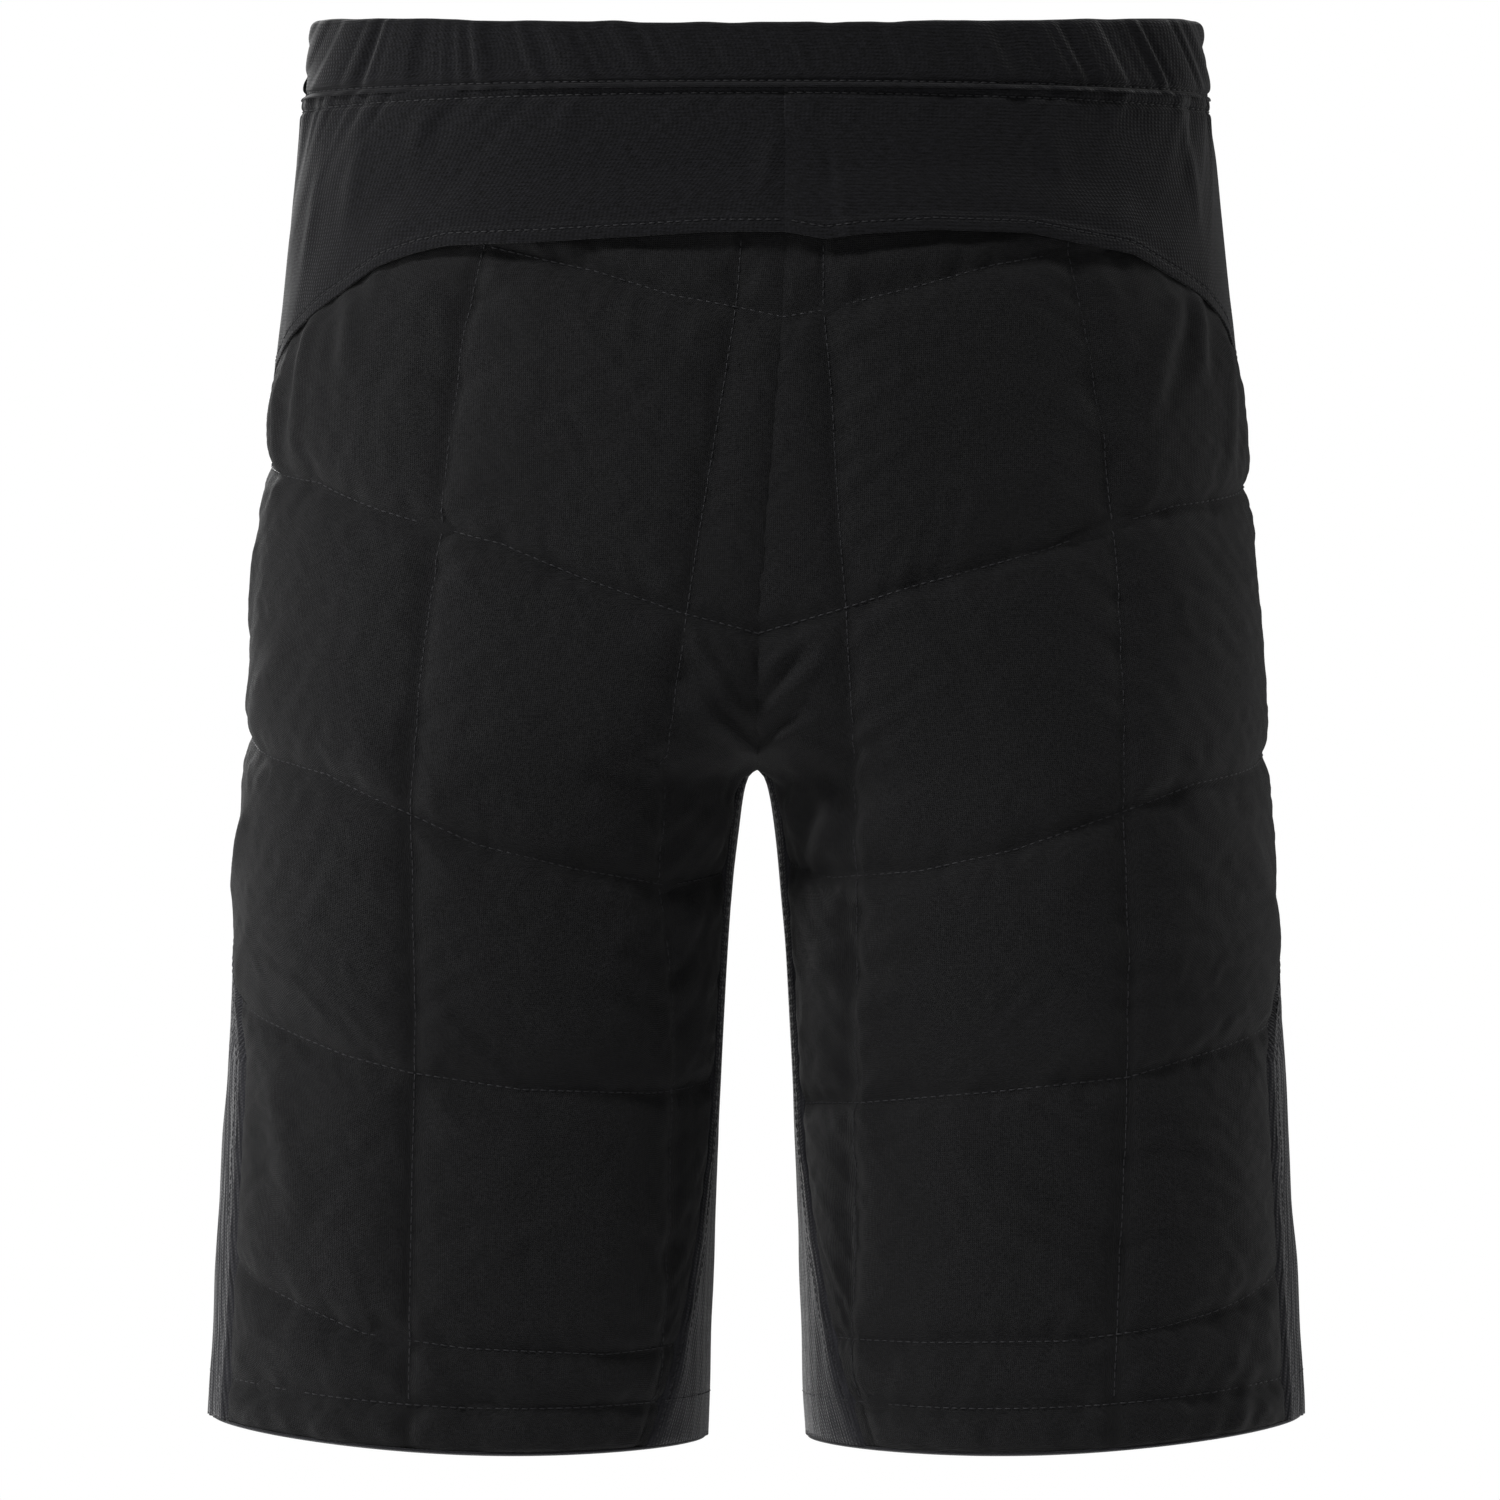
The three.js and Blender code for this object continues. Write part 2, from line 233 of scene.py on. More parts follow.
def centre_angle(z):
    return angle_at(z, -mix(CENTRE_LAP, CROTCH_LAP, ease(-z, *CROTCH_LAP_SPREAD)))


def side_insert_angle(z):
    return SIDE_INSERT_HALF * ease(-z, *SIDE_INSERT_OPENING)


def inner_insert_angle(z):
    flare = np.clip((-z - FLARE_START) / (OUTSEAM - FLARE_START), 0, None)
    return mix(*INNER_INSERT_HALF, flare**FLARE_POWER)


SEAM_ANGLE = SEAM_LAP / DEPTHS[-1][3]


def panel_angle(z, share):
    beside_insert = math.pi - inner_insert_angle(z)
    inner_edge = np.where(z > -CROTCH, np.minimum(centre_angle(z), beside_insert), beside_insert)
    return mix(side_insert_angle(z) - SEAM_ANGLE * (side_insert_angle(z) == 0), inner_edge, share)


def hem_drop(angle):
    return OUTSEAM + HEM_SLOPE * (1 - np.cos(angle)) / 2 + HEM_BOW * np.sin(angle) ** 2


# The yoke's lower edge: degrees round from the side seam, and millimetres down
YOKE_EDGE = {
    1: [
        (0, 150), (15, 129), (24, 118), (34, 108), (41, 100), (50, 96), (57, 92), (69, 91), (80, 93),
        (85, 95), (90, 92),
    ],
    -1: [
        (0, 150), (12, 140), (24, 127), (34, 115), (41, 105), (47, 100), (52, 97), (64, 96), (74, 94),
        (82, 92), (90, 92),
    ],
}


def yoke_drop(side, angle):
    degrees, drops = zip(*YOKE_EDGE[side])
    return np.interp(np.degrees(angle), degrees, drops) * MM


# The stitching: each row as (share across the panel from the outer side, millimetres down), and each upright
# line as (millimetres down, millimetres from the centre)
ROWS = {
    1: [
        [(0.58, 100), (0.68, 105), (0.79, 114), (0.94, 124), (1, 127)],
        [(0, 194), (0.4, 204), (0.51, 212), (0.63, 224), (0.79, 238), (0.89, 248), (1, 258)],
        [(0, 306), (0.3, 319), (0.42, 331), (0.57, 346), (0.71, 355), (0.86, 358), (1, 352)],
        [(0, 419), (0.22, 433), (0.32, 440), (0.55, 446), (0.79, 451), (1, 452)],
        [(0, 522), (0.12, 532), (0.21, 538), (0.33, 544), (0.5, 549), (0.78, 550), (1, 549)],
    ],
    -1: [
        [(0.63, 97), (0.78, 108), (0.87, 118), (0.93, 122), (1, 127)],
        [(0, 185), (0.34, 194), (0.48, 206), (0.66, 220), (0.76, 234), (0.88, 248), (1, 258)],
        [(0, 297), (0.31, 315), (0.44, 331), (0.54, 344), (0.68, 354), (0.83, 361), (1, 356)],
        [(0, 409), (0.12, 419), (0.25, 431), (0.36, 438), (0.55, 445), (0.79, 447), (1, 443)],
        [(0, 517), (0.11, 527), (0.21, 535), (0.34, 546), (0.54, 552), (0.82, 555), (1, 552)],
    ],
}
UPRIGHTS = {
    1: [
        [(99, 130), (140, 138), (181, 145), (225, 150), (284, 152), (330, 152), (387, 154), (461, 153),
         (500, 151), (575, 148)],
        [(95, 17), (121, 18), (161, 25), (199, 30), (246, 36), (293, 39), (356, 40), (451, 40), (491, 39),
         (573, 39)],
    ],
    -1: [
        [(98, 113), (130, 121), (181, 128), (222, 132), (272, 139), (306, 142), (330, 143), (417, 141),
         (507, 143), (575, 144)],
        [(95, 17), (121, 18), (156, 21), (202, 25), (265, 31), (306, 36), (359, 39), (395, 35), (432, 33),
         (501, 35), (552, 38)],
    ],
}
UPRIGHT_LIMITS = (0.75, 0.975)  # the largest share across that each upright line may come to
UNDER_YOKE = 9 * MM             # how far a panel runs up under the yoke
TOP_ROW_CLEARANCE = 5 * MM
HEM_STITCH = 19 * MM
HEM_WALL = 0.8 * MM
# The grid's steps between the lines of stitching, from the outer side in and from the yoke down
COLUMN_STEPS = (34, 34, 12)
ROW_STEPS = (7, 30, 30, 26, 28, 8, 6)
COLUMN_LINES = [int(n) for n in np.cumsum((0, *COLUMN_STEPS))]
ROW_LINES = [int(n) for n in np.cumsum((0, *ROW_STEPS))]
GRID_PASSES = 14
FIRST_HEIGHTS = (-0.09, -0.59)
# How deep the cloth dips at a line of stitches and how far that reaches
UPRIGHT_DIP = (2.0 * MM, 5 * MM)
SIDE_EDGE_DIP = (1.3 * MM, 3 * MM)
ROW_DIP = (3.0 * MM, 5 * MM)
END_EDGE_DIP = (0.8 * MM, 5 * MM)
# The puckers beside a line of stitches: height and spacing in millimetres of the short and the long ones
UPRIGHT_PUCKERS = [(1.8, 7), (0.8, 17)]
ROW_PUCKERS = [(0.9, 8), (0.8, 21)]
LOFT = 2.4 * MM
LOFT_REACH = 15 * MM
THICKNESS = 5.2 * MM
STITCHED_THICKNESS = 2.2 * MM
LEAST_DEPTH = 2.5 * MM
LOWEST, HIGHEST = -4 * MM, 7 * MM


def ripple(along, spacing, seed):
    """Even random waves from -1 to 1 along a length, one knot to each spacing."""
    knots = np.random.RandomState(seed).uniform(-1, 1, 4096)
    at = np.asarray(along) / spacing + 1000
    low = np.floor(at).astype(int)
    return mix(knots[low % 4096], knots[(low + 1) % 4096], ease(at - low, 0, 1))


def cloud(u, v, size, seed):
    """Soft random hills from -1 to 1 over a surface."""
    knots = np.random.RandomState(seed).uniform(-1, 1, (256, 256))
    a, b = np.asarray(u) / size + 100, np.asarray(v) / size + 100
    i, j = np.floor(a).astype(int), np.floor(b).astype(int)
    s, t = ease(a - i, 0, 1), ease(b - j, 0, 1)
    near = mix(knots[i % 256, j % 256], knots[(i + 1) % 256, j % 256], s)
    far = mix(knots[i % 256, (j + 1) % 256], knots[(i + 1) % 256, (j + 1) % 256], s)
    return mix(near, far, t)


def run_lengths(points, axis):
    """The length along the rows (axis 1) or columns (axis 0) of a grid of points, from its first edge."""
    steps = np.linalg.norm(np.diff(points, axis=axis), axis=2)
    return np.insert(np.cumsum(steps, axis=axis), 0, 0, axis=axis)


def closed_body(name, outside, inside, material):
    """A closed sheet between two grids of points, with its flat lengths in metres as UVs."""
    rows, columns = outside.shape[:2]
    count = rows * columns
    grid = np.arange(count).reshape(rows, columns)
    a, b, c, d = (g.ravel() for g in (grid[:-1, :-1], grid[:-1, 1:], grid[1:, 1:], grid[1:, :-1]))
    front_faces = np.stack([a, d, c, b], 1)
    back_faces = np.stack([a, b, c, d], 1) + count
    rim = np.concatenate([grid[0, :-1], grid[:-1, -1], grid[-1, :0:-1], grid[:0:-1, 0]])
    following = np.roll(rim, -1)
    rim_faces = np.stack([rim, following, following + count, rim + count], 1)
    faces = np.concatenate([front_faces, back_faces, rim_faces])
    points = np.concatenate([outside.reshape(-1, 3), inside.reshape(-1, 3)])
    corners = points[faces]
    volume = np.einsum("ij,ij->", corners[:, 0], np.cross(corners[:, 1], corners[:, 2])) + np.einsum(
        "ij,ij->", corners[:, 0], np.cross(corners[:, 2], corners[:, 3])
    )
    if volume < 0:
        faces = faces[:, ::-1]
    mesh = bpy.data.meshes.new(name)
    mesh.from_pydata(points.tolist(), [], faces.tolist())
    flat = np.stack([run_lengths(outside, 1), run_lengths(outside, 0)], -1).reshape(-1, 2)
    flat = np.concatenate([flat, flat])
    layer = mesh.uv_layers.new(name="flat")
    layer.data.foreach_set("uv", flat[faces.ravel()].ravel())
    mesh.polygons.foreach_set("use_smooth", [True] * len(faces))
    mesh.materials.append(material)
    made = bpy.data.objects.new(name, mesh)
    scene.collection.objects.link(made)
    return made


def finish_mesh(piece):
    """Applies the piece's modifiers, so that none is left on it."""
    bpy.context.view_layer.update()
    shaped = piece.evaluated_get(bpy.context.evaluated_depsgraph_get())
    mesh = bpy.data.meshes.new_from_object(shaped)
    piece.modifiers.clear()
    piece.data = mesh


def smooth_once(piece):
    subdivision = piece.modifiers.new("smooth", "SUBSURF")
    subdivision.levels = 1
    subdivision.render_levels = 1
    finish_mesh(piece)


# Woven polyester with a brushed, peachy face: matte, with a faint mottle and a soft glow at grazing angles.
# Its threads are 0.25 mm apart and are drawn at 0.9 mm, so that they show.
SHELL_THREAD = 0.9
WAVE_PERIOD = math.pi / 10      # what Blender's wave texture repeats over at scale 1


def flat_lengths(tree):
    """The cloth's flat lengths in millimetres, from its UVs in metres."""
    metres = add(tree, "ShaderNodeUVMap", {}).outputs["UV"]
    lengths = add(tree, "ShaderNodeVectorMath", {0: metres, 1: (1000, 1000, 1000)}, operation="MULTIPLY")
    return lengths.outputs["Vector"]


woven_shell, tree, finish = start_material("woven polyester shell")
flat_mm = flat_lengths(tree)
mottle = add(tree, "ShaderNodeTexNoise", {"Vector": flat_mm, "Scale": 0.7, "Detail": 6, "Roughness": 0.8})
grain = add(tree, "ShaderNodeMapRange", {"Value": mottle.outputs["Fac"], "From Min": 0.35, "From Max": 0.65})
shell_colour = add(
    tree, "ShaderNodeMix", {0: grain.outputs["Result"], 6: linear("#060607"), 7: linear("#1c1c1d")},
    data_type="RGBA",
)
threads = {"Vector": flat_mm, "Scale": WAVE_PERIOD / SHELL_THREAD, "Distortion": 0.6}
warp = add(tree, "ShaderNodeTexWave", threads, bands_direction="X")
weft = add(tree, "ShaderNodeTexWave", threads, bands_direction="Y")
weave = add(tree, "ShaderNodeMath", {0: warp.outputs["Fac"], 1: weft.outputs["Fac"]}, operation="MULTIPLY")
fuzz = add(tree, "ShaderNodeTexNoise", {"Vector": flat_mm, "Scale": 0.8, "Detail": 4, "Roughness": 0.8})
relief = add(tree, "ShaderNodeMath", {0: weave.outputs[0], 1: fuzz.outputs["Fac"]}, operation="ADD")
bump = add(tree, "ShaderNodeBump", {"Strength": 0.8, "Distance": 0.0003, "Height": relief.outputs[0]})
wire(finish, {
    "Base Color": shell_colour.outputs[2],
    "Normal": bump.outputs["Normal"],
    "Roughness": 0.8,
    "IOR": 1.5,
    "Specular IOR Level": 0.12,
    "Sheen Weight": 0.06,
    "Sheen Roughness": 0.4,
})


def panel_grid(side):
    """Share and height of each grid point, so that the grid's lines lie along the stitching."""
    columns = COLUMN_LINES[-1] + 1
    rows = ROW_LINES[-1] + 1
    place = np.interp(np.arange(columns), COLUMN_LINES, range(len(COLUMN_LINES)))
    level = np.interp(np.arange(rows), ROW_LINES, range(len(ROW_LINES)))
    z = np.linspace(*FIRST_HEIGHTS, rows)[:, None] * np.ones((1, columns))
    # The heights of the rows and the angles of the upright lines depend on each other, so they are found in turn
    for _ in range(GRID_PASSES):
        drop = -z / MM
        outer_edge, inner_edge = panel_angle(z, 0), panel_angle(z, 1)
        marks = [np.zeros_like(z)]
        for line, most in zip(UPRIGHTS[side], UPRIGHT_LIMITS):
            stitched = angle_at(z, np.interp(drop, *zip(*line)) * MM)
            marks.append(np.minimum((stitched - outer_edge) / (inner_edge - outer_edge), most))
        marks.append(np.ones_like(z))
        whole = np.minimum(place.astype(int), len(marks) - 2)
        marks = np.stack(marks)
        picked = np.arange(columns)
        share = mix(marks[whole, :, picked].T, marks[whole + 1, :, picked].T, place - whole)
        angle = panel_angle(z, share)
        top = yoke_drop(side, np.minimum(angle, np.pi / 2)) - UNDER_YOKE
        heights = [top]
        for row in ROWS[side]:
            heights.append(np.interp(share, *zip(*row)) * MM)
        heights[1] = np.maximum(heights[1], top + TOP_ROW_CLEARANCE)
        heights += [hem_drop(angle) - HEM_STITCH, hem_drop(angle) - HEM_WALL]
        heights = np.stack(heights)
        step = np.minimum(level.astype(int), len(heights) - 2)
        index = np.arange(rows)
        z = -mix(heights[step, index], heights[step + 1, index], (level - step)[:, None])
    return share, z, angle


def pucker_beside(along, away, waves, seed, fade, flattened):
    """Puckers that start at a line of stitches, a little flattened by it, and die away from it."""
    height = sum(size * ripple(along, spacing * MM, seed + 50 * n) for n, (size, spacing) in enumerate(waves))
    return height * np.exp(-away / fade) * (1 - flattened * np.exp(-away / (2 * MM)))


def panel_relief(side, face, surface):
    """How far each point of a panel stands proud, and how full the padding is under it."""
    across, down = run_lengths(surface, 1), run_lengths(surface, 0)
    seed = 10 * (side + 2) + face
    full = np.ones(across.shape)
    pucker = np.zeros(across.shape)
    dips = np.zeros(across.shape)
    for number, column in enumerate(COLUMN_LINES):
        away = np.abs(across - across[:, column : column + 1])
        full = np.minimum(full, 1 - np.exp(-((away / LOFT_REACH) ** 1.3)))
        depth, reach = SIDE_EDGE_DIP if column in (0, COLUMN_LINES[-1]) else UPRIGHT_DIP
        dips = np.maximum(dips, depth * np.exp(-((away / reach) ** 1.2)))
        pucker += pucker_beside(down + 0.5 * away, away, UPRIGHT_PUCKERS, seed + number, 12 * MM, 0.5)
    for number, row in enumerate(ROW_LINES):
        away = np.abs(down - down[row : row + 1, :])
        full = np.minimum(full, 1 - np.exp(-((away / LOFT_REACH) ** 1.3)))
        depth, reach = END_EDGE_DIP if row in (0, ROW_LINES[-1]) else ROW_DIP
        dips = np.maximum(dips, depth * np.exp(-((away / reach) ** 1.2)))
        pucker += pucker_beside(across + 0.4 * away, away, ROW_PUCKERS, seed + 100 + number, 13 * MM, 0.6)
    from_sides = np.minimum(across, across[:, -1:] - across)
    pucker *= ease(from_sides, 0, 12 * MM)
    hills = 0.8 * cloud(across, down, 38 * MM, seed + 7)
    hills += 0.35 * cloud(across + down, down - across, 16 * MM, seed + 8)
    # The strip beside the centre seam is pulled flat above the crotch
    beside_seam = ease(np.arange(across.shape[1]), COLUMN_LINES[2] - 1, COLUMN_LINES[2] + 1)
    flat_strip = 1 - 0.65 * beside_seam * (1 - ease(-surface[..., 2], CROTCH - 70 * MM, CROTCH - 20 * MM))
    proud = LOFT * full * flat_strip - dips + (pucker + hills * full) * flat_strip * MM
    return proud, full


# Soft folds in the panels: share across and millimetres down of both ends, height and half width in mm. They
# fan out from the crotch and hang from the yoke at the hips. The back has the same ones, fainter.
FOLDS = {
    1: [
        (0.985, 298, 0.89, 266, 2.6, 4), (0.975, 316, 0.88, 292, 3.4, 5), (0.95, 266, 0.985, 284, 1.8, 3.5),
        (0.93, 262, 0.97, 272, 1.4, 3), (0.94, 334, 0.86, 316, 2.4, 4), (0.9, 356, 0.82, 330, 2.8, 5),
        (0.9, 395, 0.7, 380, 1.4, 6), (0.9, 420, 0.6, 400, 1.2, 7),
        (0.3, 112, 0.33, 150, 2.2, 6), (0.36, 112, 0.46, 165, 1.8, 6), (0.2, 128, 0.24, 190, 1.6, 8),
        (0.62, 480, 0.4, 505, 1.4, 6), (0.6, 500, 0.42, 520, 1.0, 5), (0.12, 560, 0.2, 592, 1.6, 5),
        (0.75, 205, 0.55, 175, 0.8, 10), (0.2, 350, 0.05, 390, 1.5, 9),
    ],
    -1: [
        (0.89, 256, 0.985, 306, 2.8, 3.5), (0.925, 254, 0.985, 294, 2.0, 3), (0.885, 286, 0.97, 314, 3.4, 5),
        (0.955, 256, 0.985, 280, 1.4, 3), (0.87, 318, 0.95, 338, 2.0, 4.5), (0.95, 345, 0.82, 325, 1.8, 6),
        (0.9, 372, 0.72, 385, 1.6, 6), (0.9, 405, 0.68, 395, 1.4, 6), (0.85, 425, 0.6, 415, 1.1, 7),
        (0.18, 150, 0.2, 200, 2.2, 7), (0.3, 125, 0.28, 180, 2.0, 7), (0.4, 112, 0.42, 150, 1.4, 6),
        (0.12, 215, 0.02, 262, 2.0, 8), (0.14, 330, 0.03, 375, 2.0, 8), (0.3, 260, 0.1, 300, 1.3, 9),
        (0.1, 440, 0.2, 500, 1.4, 8), (0.62, 470, 0.42, 460, 1.2, 6), (0.66, 500, 0.45, 515, 1.0, 6),
    ],
}


BACK_FOLDS = 0.6
PANEL_SPREAD = 290.0            # millimetres across a panel laid flat


def folded(share, z, folds):
    """Height that the folds add: each is a soft ridge along a line, with a shallow hollow beside it."""
    lift = np.zeros(share.shape)
    for share_a, drop_a, share_b, drop_b, height, half in folds:
        start = np.array([share_a * PANEL_SPREAD, drop_a])
        line = np.array([share_b * PANEL_SPREAD, drop_b]) - start
        length = np.linalg.norm(line)
        along_x, along_y = line / length
        from_x, from_y = share * PANEL_SPREAD - start[0], -z / MM - start[1]
        along = (from_x * along_x + from_y * along_y) / length
        aside = (from_y * along_x - from_x * along_y) / half
        fade = ease(along, -0.12, 0.2) * (1 - ease(along, 0.7, 1.15))
        lift += height * fade * (np.exp(-(aside**2)) - 0.45 * np.exp(-((aside - 1.9) ** 2)))
    return lift * MM


CLOTH_FRAMES = 16
MOST_MOVE = 3.5 * MM
PADDING_HOLD = 0.55             # how firmly the padding holds the shell between the stitches, out of 1


def settle_cloth(surface, held):
    """Lets the shell fabric settle between its stitches, a little longer than the lining behind it."""
    rows, columns = surface.shape[:2]
    grid = np.arange(rows * columns).reshape(rows, columns)
    faces = np.stack([g.ravel() for g in (grid[:-1, :-1], grid[:-1, 1:], grid[1:, 1:], grid[1:, :-1])], 1)
    mesh = bpy.data.meshes.new("shell_cloth")
    mesh.from_pydata(surface.reshape(-1, 3).tolist(), [], faces.tolist())
    cloth = bpy.data.objects.new("shell_cloth", mesh)
    scene.collection.objects.link(cloth)
    group = cloth.vertex_groups.new(name="held")
    for weight in np.unique(held):
        group.add([int(n) for n in np.flatnonzero(held.ravel() == weight)], float(weight), "REPLACE")
    modifier = cloth.modifiers.new("cloth", "CLOTH")
    settings = modifier.settings
    settings.quality = 4
    settings.mass = 0.15
    settings.tension_stiffness = 20
    settings.compression_stiffness = 20
    settings.shear_stiffness = 8
    settings.bending_stiffness = 0.2
    settings.air_damping = 3
    settings.vertex_group_mass = "held"
    settings.pin_stiffness = 1.0
    settings.shrink_min = -0.03
    settings.shrink_max = -0.03
    settings.effector_weights.gravity = 0
    modifier.collision_settings.use_collision = False
    modifier.point_cache.frame_start = 1
    modifier.point_cache.frame_end = CLOTH_FRAMES
    for number in range(1, CLOTH_FRAMES + 1):
        scene.frame_set(number)
    shaped = cloth.evaluated_get(bpy.context.evaluated_depsgraph_get())
    moved = np.empty(rows * columns * 3, np.float32)
    shaped.data.vertices.foreach_get("co", moved)
    bpy.data.objects.remove(cloth)
    bpy.data.meshes.remove(mesh)
    scene.frame_set(1)
    move = moved.reshape(rows, columns, 3).astype(float) - surface
    far = np.linalg.norm(move, axis=2, keepdims=True)
    limited = MOST_MOVE * np.tanh(far / MOST_MOVE) / np.maximum(far, 1e-9)
    return surface + move * limited


def bend_at_crotch(piece):
    """Bakes a piece's placement into its mesh."""
    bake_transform(piece)


FACES = {1: "front", -1: "back"}
HANDS = {1: "left", -1: "right"}
panel_surfaces = {}

for face, face_name in FACES.items():
    for side, hand in HANDS.items():
        share, z, angle = panel_grid(side)
        plain = worn(side, face, z, angle, 0)
        proud, full = panel_relief(side, face, plain)
        proud += folded(share, z, FOLDS[side]) * (full > 0) * (1 if face == 1 else BACK_FOLDS)
        proud = np.clip(proud, LOWEST, HIGHEST)
        # The top edge lies flat under the yoke
        proud[:4] = np.minimum(proud[:4], -0.6 * MM)
        outside = worn(side, face, z, angle, proud)
        held = np.full(share.shape, PADDING_HOLD)
        held[ROW_LINES, :] = 1
        held[:, COLUMN_LINES] = 1
        outside = settle_cloth(outside, held)
        depth = mix(STITCHED_THICKNESS, THICKNESS, full)
        inside = worn(side, face, z, angle, -np.maximum(depth, LEAST_DEPTH))
        panel = closed_body(f"quilted_{face_name}_{hand}", outside, inside, woven_shell)
        smooth_once(panel)
        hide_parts(*(f"{face_name}_{layer}_{part}_{hand}" for layer in ("shell", "padding")
                             for part in ("hip", "leg")))
        bend_at_crotch(panel)
        panel_surfaces[face, side] = (share, z, angle, outside)


# Lining
# A thin, smooth polyester taffeta behind the padding of each panel, cut to the panel's shape and sewn in at
# its edges. It lies against the wearer, nearly flat.
TAFFETA_RIB = 0.8               # its ribs are 0.2 mm apart and are drawn coarser, so that they show

lining_taffeta, tree, finish = start_material("polyester taffeta lining")
flat_mm = flat_lengths(tree)
unevenness = add(tree, "ShaderNodeTexNoise", {"Vector": flat_mm, "Scale": 0.2, "Detail": 4})
taffeta_colour = add(
    tree, "ShaderNodeMix", {0: unevenness.outputs["Fac"], 6: linear("#161617"), 7: linear("#1e1e20")},
    data_type="RGBA",
)
ribs = add(tree, "ShaderNodeTexWave", {"Vector": flat_mm, "Scale": WAVE_PERIOD / TAFFETA_RIB}, bands_direction="Y")
bump = add(tree, "ShaderNodeBump", {"Strength": 0.3, "Distance": 0.0002, "Height": ribs.outputs["Fac"]})
wire(finish, {
    "Base Color": taffeta_colour.outputs[2],
    "Normal": bump.outputs["Normal"],
    "Roughness": 0.5,
    "IOR": 1.5,
    "Specular IOR Level": 0.25,
})

LINING_DEPTH = 7.4 * MM
LINING_THICKNESS = 0.6 * MM

for (face, side), (share, z, angle, _) in panel_surfaces.items():
    face_name, hand = FACES[face], HANDS[side]
    keep = (slice(None, None, 2), slice(None, None, 2))
    share, z, angle = share[keep], z[keep], angle[keep]
    plain = worn(side, face, z, angle, 0)
    soft = 0.5 * MM * cloud(run_lengths(plain, 1), run_lengths(plain, 0), 20 * MM, 90 + side + face)
    lining = closed_body(
        f"lining_{face_name}_{hand}",
        worn(side, face, z, angle, soft - LINING_DEPTH),
        worn(side, face, z, angle, soft - LINING_DEPTH - LINING_THICKNESS),
        lining_taffeta,
    )
    # The cloth in one lining, from the shape that it covers
    cells = np.cross(np.diff(plain, axis=0)[:, 1:], np.diff(plain, axis=1)[1:])
    cut = float(np.linalg.norm(cells, axis=2).sum())
    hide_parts(f"{face_name}_lining_hip_{hand}", f"{face_name}_lining_leg_{hand}")
    bend_at_crotch(lining)


# Inserts
# Soft knitted jersey strips that let the quilted leg stretch: one tapers in at the outer side below the hip,
# and one runs down the inner side and flares to the hem. They lie under the panels' edges, sewn flat to them.
KNIT_WALE = 1.9                 # the loops are 0.8 mm apart and are drawn coarser, so that they show
KNIT_COURSE = 1.5
LOOP_HEIGHT = 0.4 * MM


def knit_material(name, dark, light, streak, sheen):
    """Brushed jersey: fine streaks of darker and lighter yarn, and upright rows of knitted loops."""
    made, tree, finish = start_material(name)
    flat_mm = flat_lengths(tree)
    drawn_out = add(tree, "ShaderNodeVectorMath", {0: flat_mm, 1: streak}, operation="MULTIPLY")
    heather = add(
        tree, "ShaderNodeTexNoise",
        {"Vector": drawn_out.outputs["Vector"], "Scale": 1.0, "Detail": 3, "Roughness": 0.6},
    )
    yarn = heather.outputs["Fac"]
    spread = add(tree, "ShaderNodeMapRange", {"Value": yarn, "From Min": 0.35, "From Max": 0.65})
    colour = add(
        tree, "ShaderNodeMix", {0: spread.outputs["Result"], 6: linear(dark), 7: linear(light)},
        data_type="RGBA",
    )
    wales = add(
        tree, "ShaderNodeTexWave", {"Vector": flat_mm, "Scale": WAVE_PERIOD / KNIT_WALE, "Distortion": 0.8},
        bands_direction="X",
    ).outputs["Fac"]
    courses = add(
        tree, "ShaderNodeTexWave", {"Vector": flat_mm, "Scale": WAVE_PERIOD / KNIT_COURSE},
        bands_direction="Y",
    ).outputs["Fac"]
    loops = add(tree, "ShaderNodeMath", {0: wales, 1: courses}, operation="MULTIPLY")
    fluff = add(tree, "ShaderNodeMath", {0: loops.outputs[0], 1: yarn}, operation="ADD")
    bump = add(tree, "ShaderNodeBump", {"Strength": 0.6, "Distance": LOOP_HEIGHT, "Height": fluff.outputs[0]})
    wire(finish, {
        "Base Color": colour.outputs[2],
        "Normal": bump.outputs["Normal"],
        "Roughness": 0.9,
        "IOR": 1.5,
        "Specular IOR Level": 0.12,
        "Sheen Weight": sheen,
        "Sheen Roughness": 0.45,
    })
    return made


insert_knit = knit_material("ribbed jersey", "#111114", "#222226", (0.9, 0.08, 1), 0.24)


def all_round(side, z, angle, proud):
    """Points all round one leg, or the whole waist: positive angles at the front, negative at the back."""
    turned = (np.asarray(angle) + math.pi) % (2 * math.pi) - math.pi
    facing = worn(side, 1, z, np.abs(turned), proud)
    behind = worn(side, -1, z, np.abs(turned), proud)
    return np.where((turned >= 0)[..., None], facing, behind)


INSERT_THICKNESS = 1.2 * MM
SIDE_INSERT_TOP = CROTCH + 40 * MM
INNER_INSERT_TOP = CROTCH - 14 * MM
INSERT_COLUMNS, INSERT_ROWS = 41, 91
RIB_SPACING = 8.5 * MM
RIB_HEIGHT = {"side": 0.8 * MM, "inner": 0.25 * MM}
FLAT_SEAM = (2.5 * MM, 6.5 * MM)    # the two stitch rows of the flat seam, from the panel's edge
SEAM_RIDGE = 0.9 * MM
INSERT_LAP = 2.5 * MM           # how far the inserts run on under the panels
LAP_DROP = 2.6 * MM             # and how much lower they lie there
INSERT_PASSES = 6
CENTRE_CLEARANCE = 0.15 * MM    # the two inner inserts keep to their own sides of the centre
insert_surfaces = {}

